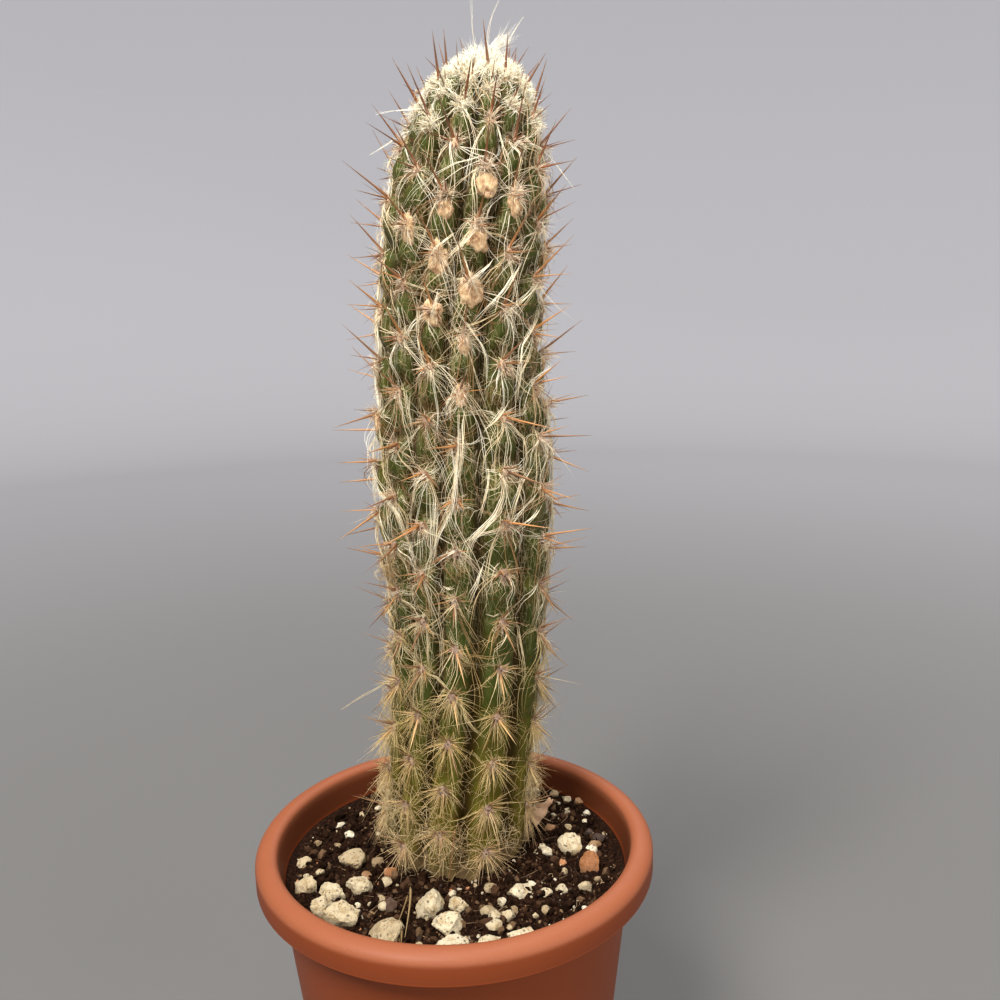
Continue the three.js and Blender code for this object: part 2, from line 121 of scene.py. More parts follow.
class Finish:
    def __init__(self, name, shine, roughness=0.5):
        self.material = bpy.data.materials.new(name)
        self.material.use_nodes = True
        self.tree = self.material.node_tree
        self.inputs = self.tree.nodes["Principled BSDF"].inputs
        self.fill(self.inputs, {"Specular IOR Level": shine, "Roughness": roughness})
        self.place = self.node("TexCoord", {}, "Object")

    def fill(self, inputs, sockets):  # links sockets or sets their values
        for name, value in sockets.items():
            if isinstance(value, Wire):
                self.tree.links.new(value.socket, inputs[name])
            elif inputs[name].type == "RGBA":
                inputs[name].default_value = (*value, 1)
            else:
                inputs[name].default_value = value

    def node(self, kind, sockets, output=0, stops=(), **settings):
        new = self.tree.nodes.new("ShaderNode" + kind)
        for name, value in settings.items():
            setattr(new, name, value)
        for _ in stops[2:]:  # a ramp starts with two
            new.color_ramp.elements.new(1)
        for index, (position, *colour) in enumerate(stops):
            new.color_ramp.elements[index].position = position
            new.color_ramp.elements[index].color = (*colour, 1)
        self.fill(new.inputs, sockets)
        return Wire(self, new.outputs[output])

    def math(self, operation, a, b):
        return self.node("Math", {0: a, 1: b}, operation=operation)

    def length(self, vector):
        return self.node("VectorMath", {0: vector}, "Value", operation="LENGTH")

    def blend(self, share, a, b, way="MIX"):
        return self.node("Mix", {0: share, 6: a, 7: b}, 2, data_type="RGBA", blend_type=way)

    def band(self, value, low, high, start=0, end=1):
        return self.node("MapRange", {0: value, 1: low, 2: high, 3: start, 4: end},
                         interpolation_type="SMOOTHSTEP")

    def mark(self, name):
        return self.node("Attribute", {}, "Fac", attribute_name=name)

    def ramp(self, value, *stops):  # each stop is a position and a colour
        return self.node("ValToRGB", {0: value}, stops=stops)

    def stretched(self, *scale):
        return self.node("Mapping", {"Vector": self.place, "Scale": scale})

    def grain(self, size, detail, roughness=0.5, place=None):  # noise with lumps of this many mm
        return self.node("TexNoise", {"Vector": place or self.place, "Scale": 1 / (size * mm),
                                      "Detail": detail, "Roughness": roughness})

    def cells(self, size, feature="F1", place=None):
        return self.node("TexVoronoi", {"Vector": place or self.place, "Scale": 1 / (size * mm)},
                         feature=feature)

    def height(self, floor=0):  # millimetres above a floor
        return self.node("SeparateXYZ", {0: self.place}, "Z") * (1 / mm) - floor

    def coat(self, share, tint, way="MIX"):  # lays a tint over the colour so far
        self.colour = self.blend(share, self.colour, tint, way)

    def stain(self, value, low, high, most, tint):  # the same, stronger as a value nears high
        self.coat(self.band(value, low, high, 0, most), tint)

    def done(self, roughness=None, relief=None, depth=0):
        self.fill(self.inputs, {"Base Color": self.colour})
        if roughness:
            self.fill(self.inputs, {"Roughness": roughness})
        if relief:
            bump = self.node("Bump", {"Height": relief, "Distance": depth * mm, "Strength": 1})
            self.fill(self.inputs, {"Normal": bump})
        return self


def tinted(name, roughness, *stops):  # a plain finish coloured by the mark tint
    f = Finish(name, 0.25, roughness)
    f.colour = f.ramp(f.mark("tint"), *stops)
    f.coat(f.band(f.grain(2.5, 3), 0.5, 0.75, 0, 0.4), (0.35, 0.24, 0.16), "MULTIPLY")
    return f.done()


# Meshes

def addMark(piece, mark, values):
    layer = piece.data.attributes.new(mark, "FLOAT", "POINT")
    layer.data.foreach_set("value", np.asarray(values, np.float32).ravel())


def newMesh(name, points, faces=(), edges=()):
    mesh = bpy.data.meshes.new(name)
    mesh.from_pydata((np.asarray(points, float) * mm).tolist(), edges, faces)
    piece = bpy.data.objects.new(name, mesh)
    bpy.context.scene.collection.objects.link(piece)
    return piece


def manyMesh(name, points, faces, marks):  # one mesh of many parts with the same faces
    count, each = points.shape[:2]
    faces = np.array(faces) + np.arange(count)[:, None, None] * each
    piece = newMesh(name, points.reshape(-1, 3), faces.reshape(-1, 3).tolist())
    for mark, values in marks.items():
        addMark(piece, mark, np.repeat(values, each))
    return piece


def readPoints(piece):
    points = np.zeros(len(piece.data.vertices) * 3)
    piece.data.vertices.foreach_get("co", points)
    return points.reshape(-1, 3)


def writePoints(piece, points):
    piece.data.vertices.foreach_set("co", np.asarray(points).ravel())
    piece.data.update()


def choose(*pieces):  # selects only these, with the first one active
    bpy.ops.object.select_all(action="DESELECT")
    for piece in pieces:
        piece.select_set(True)
    bpy.context.view_layer.objects.active = pieces[0]


def editWhole(piece):  # edit mode with everything selected
    choose(piece)
    bpy.ops.object.mode_set(mode="EDIT")
    bpy.ops.mesh.select_all(action="SELECT")


def leaveEdit(closed=False):  # a closed mesh has its doubles merged and its faces turned out
    if closed:
        bpy.ops.mesh.select_all(action="SELECT")
        bpy.ops.mesh.remove_doubles(threshold=1e-6)
        bpy.ops.mesh.normals_make_consistent(inside=False)
    bpy.ops.object.mode_set(mode="OBJECT")


def made(name):  # what the last operator made
    bpy.context.object.name = name
    return bpy.context.object


def ball(name, detail):
    bpy.ops.mesh.primitive_ico_sphere_add(subdivisions=detail, radius=1)
    return made(name)


def joinAll(name, pieces):
    choose(*pieces)
    bpy.ops.object.join()
    return made(name)


def shade(piece, bend=None):  # smooth, with edges sharper than bend degrees left sharp
    choose(piece)
    if bend:
        bpy.ops.object.shade_smooth_by_angle(angle=radians(bend))
    else:
        bpy.ops.object.shade_smooth()


def dress(piece, finish, replaced=None, bend=None):
    shade(piece, bend)
    piece.data.materials.clear()
    piece.data.materials.append(finish.material)
    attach(piece, "root")
    if replaced:
        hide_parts(replaced)
    print(piece.name, len(piece.data.polygons), "faces")


def placed(turn, place):  # a 3 by 4 placing matrix
    return np.concatenate([np.array(turn), np.reshape(place, (3, 1))], axis=1)


def strew(name, model, places, **marks):  # one mesh of many copies of a model
    points = readPoints(model)
    model.data.calc_loop_triangles()
    faces = [tuple(face.vertices) for face in model.data.loop_triangles]
    places = np.array(places)
    turned = np.einsum("nij,pj->npi", places[:, :, :3], points) + places[:, None, :, 3]
    bpy.data.objects.remove(model)
    return manyMesh(name, turned, faces, marks)


class Bunch:  # three-sided strands of as many steps each, made as one mesh
    def __init__(self, steps):
        self.share = np.linspace(0, 1, steps)
        self.rows = []

    def add(self, foot, push, curl, radius, ref, tint):
        path = foot + np.outer(self.share, push) + np.outer(self.share ** 2, curl)
        refs = np.tile(ref, (len(path), 1)) + 0.01
        self.rows.append((path, refs, radius * (1 - 0.85 * self.share ** 1.3), tint))

    def addMany(self, paths, refs, radii, tints, start=1):
        taper = (1 - 0.8 * self.share ** 2) * mix(start, 1, smooth(0, 0.3, self.share))
        self.rows.extend(zip(paths, refs, np.asarray(radii)[:, None] * taper, tints))

    def make(self, name, finish, replaced=None):
        paths, refs, radii, tints = (np.array(column) for column in zip(*self.rows))
        count, steps = paths.shape[:2]
        along = unit(np.gradient(paths, axis=1))
        across = unit(np.cross(along, refs))
        turns = np.arange(3)[:, None] / 3 * tau
        wheel = np.cos(turns) * across[:, :, None] + np.sin(turns) * np.cross(across, along)[:, :, None]
        rings = (paths[:, :, None] + wheel * radii[:, :, None, None]).reshape(count, -1, 3)
        tips = paths[:, -1] + along[:, -1] * radii[:, -1, None]
        last = 3 * (steps - 1)
        faces = []
        for a in range(3 * steps):
            b = a - a % 3 + (a + 1) % 3
            faces += [[a, b, b + 3], [a, b + 3, a + 3]] if a < last else [[a, b, last + 3]]
        faces.append([0, 2, 1])
        piece = manyMesh(name, np.concatenate([rings, tips[:, None]], axis=1), faces, {"tint": tints})
        addMark(piece, "along", np.tile(np.append(np.repeat(self.share, 3), 1), count))
        dress(piece, finish, replaced)


# Pot

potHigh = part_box("pot")[1] / mm
potSet = dict(
    height=potHigh.z, rimRadius=potHigh.x, rimWidth=9.6, rimCrest=3.4,
    rimDrop=4.8,  # from the rim's top down to where its side turns upright
    innerDrop=3.4,  # and on its inner side
    collarDepth=12.6, collarThickness=2.4, collarRound=0.9, grooveDepth=5, lipRound=0.5,
    wallTopRadius=75.5, wallThickness=2.3, footRadius=61, footRound=1.2, footWidth=6,
    footRise=4, floorThickness=2.6, innerCorner=3,
    draft=0.8,  # how far the hidden faces of the foot and the collar slope
    drains=5, drainRadius=5, drainRing=34, rollSteps=12, roundSteps=144,
)
collarEdge = potSet["height"] - potSet["collarDepth"]
floorTop = potSet["footRise"] + potSet["floorThickness"]


def wallRadius(z):
    return mix(potSet["footRadius"], potSet["wallTopRadius"], z / collarEdge)


def insideRadius(z, gap=0):
    return wallRadius(z) - potSet["wallThickness"] - gap


def arc(x, z, start, end, steps, wide, high=None):  # points of a stretch of an ellipse, in degrees
    turns = np.radians(np.linspace(start, end, steps + 1))
    return [(x + wide * cos(t), z + (high or wide) * sin(t)) for t in turns]


def potProfile():
    p = potSet
    rim = p["rimRadius"]
    crest = rim - p["rimWidth"] + p["rimCrest"]
    grooveTop = collarEdge + p["grooveDepth"]
    lip = rim - p["collarThickness"]
    foot = p["footRadius"] - p["footWidth"]
    under, inner, outer = p["footRound"], p["lipRound"], p["collarRound"]
    points = [(0, p["footRise"]), (foot, p["footRise"]), (foot + p["draft"], 0)]
    points += arc(p["footRadius"] - under, under, -90, 0, 3, under)
    points += [(wallRadius(z), z) for z in (4, 30, 60, 90, collarEdge - 10, collarEdge, grooveTop)]
    points += [(lip - p["draft"], grooveTop), (lip, collarEdge + 0.4)]
    points += arc(lip + inner, collarEdge + inner, 200, 270, 2, inner)
    points += arc(rim - outer, collarEdge + outer, -90, 0, 4, outer)
    points += arc(crest, p["height"] - p["rimDrop"], 4, 90, p["rollSteps"], rim - crest, p["rimDrop"])
    points += arc(crest, p["height"] - p["innerDrop"], 100, 180, 6, p["rimCrest"], p["innerDrop"])
    points += [(insideRadius(z), z) for z in (collarEdge, 100, 50, floorTop + p["innerCorner"])]
    return points + [(insideRadius(floorTop, p["innerCorner"]), floorTop), (0, floorTop)]


def makePot():
    p = potSet
    profile = [(x, 0, z) for x, z in potProfile()]
    pot = newMesh("flowerPot", profile, edges=[(i, i + 1) for i in range(len(profile) - 1)])
    editWhole(pot)
    bpy.ops.mesh.spin(steps=p["roundSteps"], angle=tau, axis=(0, 0, 1), center=(0, 0, 0))
    leaveEdit(closed=True)
    for i in range(p["drains"]):
        turn = i / p["drains"] * tau
        place = Vector((p["drainRing"] * cos(turn), p["drainRing"] * sin(turn), floorTop / 2))
        bpy.ops.mesh.primitive_cylinder_add(vertices=32, radius=p["drainRadius"] * mm, depth=0.02,
                                            location=place * mm)
        drill = made("drill")
        cut = pot.modifiers.new("drain", "BOOLEAN")
        cut.operation = "DIFFERENCE"
        cut.object = drill
        choose(pot)
        bpy.ops.object.modifier_apply(modifier=cut.name)
        bpy.data.objects.remove(drill)
    dress(pot, potFinish(), "pot", bend=32)


def potFinish():
    f = Finish("terracottaPlastic", 0.24)
    height = f.height()
    clouds = f.grain(26, 3)
    specks = f.grain(0.7, 1)
    drag = f.grain(5, 3, 0.6, f.stretched(1, 1, 14))  # faint rings left by the mould
    scuffs = f.grain(3.5, 4, 0.7, f.stretched(0.35, 0.35, 3))
    dust = f.band(height, 60, 0) * f.band(clouds, 0.35, 0.7)
    f.colour = f.blend(clouds, (0.245, 0.072, 0.032), (0.283, 0.087, 0.039))
    f.stain(specks, 0.68, 0.76, 0.3, (0.38, 0.15, 0.08))
    f.coat(f.band(scuffs, 0.66, 0.74) * f.band(clouds, 0.45, 0.6) * 0.3, (0.38, 0.17, 0.1))
    # painted shade on the collar's upright face, below the rolled rim
    f.stain(height, potSet["height"] - 3, potSet["height"] - 5.5, 1, (0.196, 0.04, 0.01))
    # painted light: the wall below the collar is brighter and redder, standing in for light that the collar's
    # shadow keeps off it
    f.stain(height, collarEdge + 1.5, collarEdge - 1, 1, (0.56, 0.102, 0.018))
    f.stain(f.length(f.stretched(1, 1, 0)) * (1 / mm), potSet["wallTopRadius"] + 1,
            potSet["wallTopRadius"] - 1, 0.72, (0.07, 0.02, 0.008))  # painted shade: the wall is darker than the collar, and the inside of the pot too
    f.coat(dust * 0.4, (0.44, 0.27, 0.19))
    return f.done(0.46 + drag * 0.14 + dust * 0.2, drag * 0.5 + specks * 0.5, 0.05)


# Soil and gravel

soilSet = dict(
    drop=13,  # from the rim's top down to the soil
    gap=0.4, bump=1.2, cells=156, reach=69,
    gravel=44, gravelClear=4, gravelSizes=(3, 6.6), bits=420, bitSizes=(0.8, 2.3),
    crumbs=3000, crumbSizes=(0.8, 4),
    fibres=230, fibreLength=(3, 12), fibreRadius=(0.12, 0.26), litterReach=66,
)
stoneSet = dict(
    splits=11, splitDepth=(0.5, 0.88),  # how far off its middle a stone has split, in radii
    chipping=0.93, lumps=0.12, pits=0.17, deep=(0.82, 1), tall=1.15,
    lift=0.1,  # of its middle over the soil, as a share of its height
)
soilLevel = potSet["height"] - soilSet["drop"]
# left or right, front or back, width, height and tone: 0 dark, 0.15 red, 0.35 tan, 0.6 cream, 1 white
largeStones = [
    (-46, 2, 14, 9, 0.52), (-41, -20, 12, 8, 0.66), (-62, -18, 11, 8, 0.55), (-51, -24, 11, 8, 0.7),
    (-55, -34, 11, 8, 0.62), (-46, -41, 15, 13, 0.62), (-28, -53, 16, 14, 0.52), (-12, -37, 14, 14, 0.72),
    (0, -38, 9, 8, 0.62), (-4, -49, 14, 9, 0.74), (-2, -63, 13, 7, 0.8), (11, -60, 10, 7, 0.74),
    (24, -59, 11, 7, 0.75), (26, -30, 12, 8, 0.78), (51, 4, 12, 9, 0.7), (57, -14, 9, 14, 0.17),
    (41, 37, 9, 6, 0.4), (53, -29, 7, 6, 0.6),
]
middleStones = [
    (-65, 1, 8, 6, 0.55), (-34, -3, 6, 5, 0.4), (-27, -35, 6, 9, 0.1), (-2, -29, 4, 5, 0.8),
    (14, -25, 6, 5, 0.5), (12, -40, 7, 5, 0.5), (14, -52, 7, 5, 0.65), (20, -45, 6, 5, 0.6),
    (36, -31, 6, 4, 0.7), (43, -28, 6, 4, 0.75), (50, -44, 4, 3, 0.9), (39, -1, 6, 4, 0.9),
    (59, -2, 6, 4, 0.9), (51, 18, 5, 4, 0.5), (45, -11, 5, 4, 0.2), (64, 6, 6, 5, 0.03),
    (-53, 32, 5, 3, 0.9), (-48, 22, 5, 4, 1.0), (49, 51, 5, 3, 0.5), (54, 44, 5, 3, 0.7),
    (59, 40, 5, 4, 0.3), (62, 31, 4, 3, 0.9), (18, -34, 4, 4, 0.8), (60, 14, 5, 4, 0.04),
    (-38, -12, 5, 4, 0.3), (-30, -17, 6, 5, 0.6), (-28, -9, 6, 5, 0.2), (62, -22, 4, 3, 0.4),
    (31, -24, 4, 4, 0.9), (-58, -6, 4, 3, 0.6),
]


def soilBumps(x, y):
    return soilSet["bump"] * (np.sin(x * 0.21 + 1.3) * np.cos(y * 0.17 - 0.4)
                              + 0.6 * np.sin(x * 0.43 - y * 0.37 + 2.1))


def soilRelief(x, y):
    place = Vector((x, y, 3.3))
    lumps = noise.fractal(place / 7, 0.8, 2.1, 3) * 1.2
    grains = noise.noise(place / 1.4) * 0.8 + noise.noise(place / 0.75) * 0.35
    clods, crumbs = (noise.voronoi(place / size)[0][0] for size in (3.4, 1.5))
    return lumps + grains + 2.1 * (0.45 - clods) + 0.8 * (0.4 - crumbs)


def soilTop(x, y):
    return soilLevel + soilBumps(x, y) + soilRelief(x, y)


def fromStem(x, y):  # distance from the foot of the stem
    return hypot(x - stemSet["footX"], y - stemSet["back"]) - stemSet["rootRadius"]


def makeSoil():
    bpy.ops.mesh.primitive_grid_add(x_subdivisions=soilSet["cells"], y_subdivisions=soilSet["cells"], size=2)
    soil = made("soilBed")
    square = readPoints(soil)
    reach = np.abs(square[:, :2]).max(1)
    turn = np.arctan2(square[:, 1], square[:, 0])
    edge = insideRadius(soilLevel, soilSet["gap"])
    x = edge * reach * np.cos(turn)
    y = edge * reach * np.sin(turn)
    rough = np.array([soilRelief(a, b) for a, b in zip(x, y)])
    z = soilLevel + (soilBumps(x, y) + rough) * smooth(1, 0.93, reach)
    writePoints(soil, np.stack([x, y, z], 1) * mm)
    editWhole(soil)
    bpy.ops.mesh.select_all(action="DESELECT")
    bpy.ops.mesh.select_mode(type="EDGE")
    bpy.ops.mesh.select_non_manifold()
    floor = floorTop + soilSet["gap"]
    corner = potSet["innerCorner"]
    for level, inset in ((floor + corner, 0), (floor, corner)):
        bpy.ops.mesh.extrude_region_move(TRANSFORM_OT_translate={"value": (0, 0, 0)})
        leaveEdit()
        points = readPoints(soil)
        rim = np.array([vertex.select for vertex in soil.data.vertices])
        points[rim, 2] = 0
        points[rim] = unit(points[rim]) * insideRadius(level, soilSet["gap"] + inset) * mm
        points[rim, 2] = level * mm
        writePoints(soil, points)
        bpy.ops.object.mode_set(mode="EDIT")
    bpy.ops.mesh.edge_face_add()
    leaveEdit(closed=True)
    dress(soil, soilFinish(), "soil", bend=50)


def soilFinish():
    f = Finish("pottingMix", 0.05, 0.9)
    lumps = f.grain(9, 4)
    fibres = f.grain(1.2, 4, 0.7)
    f.colour = f.ramp(fibres, (0.33, 0.002, 0.001, 0.001), (0.5, 0.012, 0.004, 0.002),
                      (0.68, 0.062, 0.028, 0.014))
    f.coat(lumps * 0.55, (0.008, 0.004, 0.002))
    f.coat(f.band(f.cells(1.5), 0.2, 0.1) * f.band(lumps, 0.48, 0.6), (0.15, 0.085, 0.048))
    return f.done(f.band(fibres, 0.3, 0.7, 0.72, 0.95), fibres, 0.7)


def stoneShape(detail, seed, sizes=(1, 1, 1)):  # a broken stone, flat where it has split
    stone = ball("stone", detail)
    points = readPoints(stone)
    chips = np.random.default_rng(seed)
    for _ in range(stoneSet["splits"]):
        facing = chips.normal(size=3)
        facing /= np.linalg.norm(facing)
        depth = chips.uniform(*stoneSet["splitDepth"])
        points -= np.maximum(points @ facing - depth, 0)[:, None] * facing * stoneSet["chipping"]
    if detail > 1:
        shift = Vector(chips.uniform(-50, 50, 3))
        rough = [noise.fractal(Vector(p) * 2.3 + shift, 0.6, 2.3, 5) for p in points]
        pits = [noise.voronoi(Vector(p) * 4.2 + shift)[0][0] for p in points]
        lumps = stoneSet["lumps"] * np.array(rough)
        points *= (1 + lumps - stoneSet["pits"] * smooth(0.34, 0.08, np.array(pits)))[:, None]
    writePoints(stone, points / np.abs(points).max(0) / 2 * sizes)
    return stone


def makeStones(name, stones, detail, firstSeed, finish):
    pieces = []
    for seed, (x, y, width, high, tone) in enumerate(stones, firstSeed):
        deep = width * mix(*stoneSet["deep"], draw(seed, 4, 2))
        stone = stoneShape(detail, seed, (width, deep, high * stoneSet["tall"]))
        points = readPoints(stone)
        addMark(stone, "tone", np.full(len(points), tone))
        addMark(stone, "above", points[:, 2] / high + 0.5)
        turn = np.array(Euler((0, 0, draw(seed, 1, 2) * 0.8 - 0.4)).to_matrix())
        level = soilLevel + soilBumps(x, y) * 0.7 + stoneSet["lift"] * high
        writePoints(stone, (points @ turn.T + (x, y, level)) * mm)
        pieces.append(stone)
    dress(joinAll(name, pieces), finish, bend=34)


def gravelPlaces():  # by the rule that lays the small stones of the frame
    reach = soilSet["reach"]
    places = []
    seed = 0
    while len(places) < soilSet["gravel"]:
        x = (draw(seed, 5, 7) * 2 - 1) * reach
        y = (draw(seed, 6, 7) ** 1.3 * 2 - 1) * reach
        width = mix(*soilSet["gravelSizes"], draw(seed, 7, 7) ** 2)
        clear = all(hypot(x - a, y - b) > (wide + width) * 0.52 for a, b, wide, *_ in largeStones + places)
        if clear and hypot(x, y) < reach - width / 2 and fromStem(x, y) > soilSet["gravelClear"] + width / 2:
            places.append((x, y, width, width * 0.75, 0.25 + 0.6 * draw(seed, 8, 7)))
        seed += 1
    return places


def strewBits(name, count, sizes, seed, tones, chances, forward):
    edge = insideRadius(soilLevel, 2.5)
    places, marks = [], []
    while len(places) < count:
        x, y = spread(-edge, edge, 2)
        size = mix(*sizes, rng.random() ** 2.2)
        wanted = 1 - forward * smooth(-50, 30, y)
        if hypot(x, y) <= edge - size and fromStem(x, y) >= -1 and rng.random() <= wanted:
            scale = Matrix.Diagonal(size * spread(0.7, 1.3, 3))
            turn = Euler(spread(0, 6.28, 3)).to_matrix()
            places.append(placed(turn @ scale, (x, y, soilTop(x, y) + size * 0.12)))
            marks.append(rng.choice(tones, p=chances))
    return strew(name, stoneShape(1, seed), places, tone=marks, above=np.ones(count))


def makeGravel():
    finish = stoneFinish()
    makeStones("largeStones", largeStones, 4, 0, finish)
    makeStones("middleStones", middleStones, 3, 200, finish)
    makeStones("smallGravel", gravelPlaces(), 2, 300, finish)
    bits = strewBits("gravelBits", soilSet["bits"], soilSet["bitSizes"], 77,
                     [0.02, 0.17, 0.36, 0.6, 0.9], [0.26, 0.07, 0.29, 0.23, 0.15], 0.65)
    dress(bits, finish, bend=30)
    crumbs = strewBits("soilCrumbs", soilSet["crumbs"], soilSet["crumbSizes"], 78,
                       [0.1, 0.5, 0.85, 1.0], [0.38, 0.38, 0.16, 0.08], 0)
    dress(crumbs, crumbFinish(), bend=30)


# foot over the soil, way on from it, bend, radius and tint
dryBlades = [
    ((-19, -28, 4.5), (1.5, -20, 3.5), (-3.5, -11, -7), 0.75, 0.5),
    ((-20, -34, 5), (-2, -18, 2), (-4, -6, -5.5), 0.5, 0.2),
    ((-23, -46, 2), (3, -12, 2.5), (-2, -2, -3), 1.4, 0.1),
]


def makeLitter():  # root fibres and dry blades on the soil
    fibres = Bunch(5)
    edge = soilSet["litterReach"]
    while len(fibres.rows) < soilSet["fibres"]:
        foot = np.append(spread(-edge, edge, 2), 0)
        turn = spread(0, tau)
        push = np.array([cos(turn), sin(turn), 0]) * spread(*soilSet["fibreLength"])
        x, y, _ = foot + push
        clear = fromStem(*foot[:2]) > 0 and fromStem(x, y) > 0
        if clear and hypot(*foot) < edge and hypot(x, y) < edge + 1:
            foot[2] = soilTop(*foot[:2]) + 0.3
            push[2] = soilTop(x, y) + spread(0.2, 1.4) - foot[2]
            curl = jitter(3) * (1.5, 1.5, 0.5)
            fibres.add(foot, push - curl, curl, spread(*soilSet["fibreRadius"]), (0, 0, 1), rng.random())
    fibres.make("soilFibres", tinted("rootFibre", 0.8, (0, 0.035, 0.02, 0.012), (0.6, 0.12, 0.07, 0.04),
                                     (1, 0.38, 0.26, 0.15)))
    blades = Bunch(12)
    for foot, push, curl, radius, tint in dryBlades:
        blades.add(np.add(foot, (0, 0, soilLevel)), push, curl, radius, (1, 0, 0), tint)
    finish = tinted("dryBlade", 0.7, (0, 0.16, 0.1, 0.04), (1, 0.46, 0.34, 0.17))
    blades.make("dryBlades", finish)


# a papery flake that stands on the soil: its place over the soil, size, and how it leans and turns
flakeSet = dict(place=(40, 15, 11), size=(3.8, 0.2, 7), lean=0.35, turn=0.5)


def makeFlake():
    s = flakeSet
    flake = ball("dryFlake", 4)
    points = readPoints(flake)
    edge = 1 + 0.25 * np.array([noise.noise(Vector(p) * 2.2) for p in points])
    points = points * s["size"] * edge[:, None]
    points[:, 1] += points[:, 0] ** 2 * 0.14 - points[:, 2] * 0.3 + np.sin(points[:, 2] * 0.9) * 0.5
    turn = np.array(Euler((0, s["lean"], s["turn"])).to_matrix())
    writePoints(flake, (points @ turn.T + s["place"] + (0, 0, soilLevel)) * mm)
    addMark(flake, "tint", np.full(len(points), 0.6))
    finish = tinted("dryFlake", 0.7, (0, 0.46, 0.27, 0.15), (1, 0.86, 0.6, 0.42))
    dress(flake, finish)


def stoneFinish():
    f = Finish("pumiceStone", 0.3)
    tone = f.mark("tone")
    stains = f.grain(3.2, 4, 0.65)
    fine = f.grain(0.6, 3, 0.7)
    holes = f.band(f.cells(0.8), 0.28, 0.1) * f.band(stains, 0.38, 0.5)
    pits = f.band(f.cells(2.3), 0.3, 0.14) * f.band(fine, 0.4, 0.55)
    holes = f.math("MAXIMUM", holes, pits * f.band(tone, 0.3, 0.5))
    f.colour = f.ramp(tone, (0, 0.03, 0.022, 0.018), (0.1, 0.1, 0.062, 0.048), (0.17, 0.46, 0.205, 0.095),
                      (0.35, 0.25, 0.165, 0.09), (0.55, 0.45, 0.365, 0.235), (0.75, 0.57, 0.49, 0.345),
                      (1, 0.7, 0.65, 0.53))
    f.coat(f.band(stains, 0.46, 0.66, 0, 0.6), (0.6, 0.46, 0.26), "MULTIPLY")
    f.stain(f.mark("above") + (stains - 0.5) * 0.9, 0.62, 0.32, 0.7, (0.1, 0.065, 0.035))
    f.coat(holes * 0.8, (0.05, 0.032, 0.02))
    return f.done(0.82 + fine * 0.15, fine * 0.9 - holes * 0.9, 0.45)


def crumbFinish():
    f = Finish("soilCrumbs", 0.05)
    fine = f.grain(0.8, 3, 0.6)
    f.colour = f.ramp(f.mark("tone"), (0, 0.007, 0.003, 0.001), (0.6, 0.028, 0.012, 0.006),
                      (0.9, 0.085, 0.044, 0.024), (1, 0.16, 0.095, 0.052))
    f.coat(fine * 0.6, (0.006, 0.003, 0.002))
    return f.done(0.75 + fine * 0.2, fine, 0.3)


# The stem's form: an axis that leans, a belly, twelve ribs, and areoles in a lattice

stemSet = dict(
    footX=1, back=13, rootRadius=30, rootDepth=42, height=328, radius=31.7,
    midLean=8, midLeanHeight=110, tipLean=11, tipLeanStart=200, tipLeanSpan=120,
    bellyHeight=157, bellySwell=3.7, bellyBelow=38, bellyAbove=50,
    footPinch=1.7, footPinchHeight=10, crownStart=262,
)
ribSet = dict(
    count=12, levels=(30, 165, 280), topLevel=300,
    front=[(-77, -52, -42), (-46, -28, -16), (-15, -6, 9), (21, 25, 33), (69, 61, 60)],
    depth=6.4, valleySharpness=3.1, fade=(-16, 14), fullRadius=26,
    noseDrop=(1.1, 3.7),  # how far a rib dips above each areole, low down and high up
    noseLevels=(80, 200),
    columns=12,  # of mesh, to a rib
    rowHeight=1.2, rootRows=10,
)
areoleSet = dict(
    step=20.4, first=22, lowest=8, tightenHeight=284, tightenRate=0.93, lastRow=10.5, bareRadius=12.5,
)
frontRibs = [np.polyfit(ribSet["levels"], angles, 2) for angles in ribSet["front"]]
crownStart = stemSet["crownStart"]


def axisX(height):
    s = stemSet
    tip = np.maximum(0, (height - s["tipLeanStart"]) / s["tipLeanSpan"])
    return s["footX"] + s["midLean"] * smooth(0, s["midLeanHeight"], height) + s["tipLean"] * tip * tip


def columnRadius(height):
    s = stemSet
    reach = np.where(height < s["bellyHeight"], s["bellyBelow"], s["bellyAbove"])
    belly = s["bellySwell"] * np.exp(-((height - s["bellyHeight"]) / reach) ** 2)
    return s["radius"] + belly - s["footPinch"] * np.exp(-np.maximum(height, 0) / s["footPinchHeight"])


crownWide = float(columnRadius(crownStart))
crownTall = stemSet["height"] - crownStart
crownTurns = np.linspace(0, pi / 2, 600)
crownPace = np.hypot(crownWide * np.sin(crownTurns), crownTall * np.cos(crownTurns))
crownArc = np.append(0, np.cumsum((crownPace[1:] + crownPace[:-1]) / 2 * np.diff(crownTurns)))
stemLength = crownStart + crownArc[-1]  # from the soil over the surface to the tip


def outline(way):  # height, radius and slope at a way up the surface from the soil
    turn = np.interp(way - crownStart, crownArc, crownTurns)
    crown = way > crownStart
    height = np.where(crown, crownStart + crownTall * np.sin(turn), way)
    radius = np.where(crown, crownWide * np.cos(turn), columnRadius(way))
    slope = np.where(crown, np.arctan2(np.sin(turn) / crownTall, np.cos(turn) / crownWide), 0)
    return height, radius, slope


def wayTo(height):  # the way up the surface that reaches a height
    turn = np.arcsin(np.clip((height - crownStart) / crownTall, 0, 1))
    return np.minimum(height, crownStart) + np.interp(turn, crownTurns, crownArc)


def outward(way, angle):  # the direction out of the surface; angle 0 faces the front
    slope = outline(way)[2]
    level = np.cos(slope)
    return np.stack([level * np.sin(angle), -level * np.cos(angle), np.sin(slope)], -1)


def onStem(way, angle, lift):  # a point over the surface
    height, radius, slope = outline(way)
    reach = radius + lift * np.cos(slope)
    return np.stack([axisX(height) + reach * np.sin(angle), stemSet["back"] - reach * np.cos(angle),
                     soilLevel + height + lift * np.sin(slope)], -1)


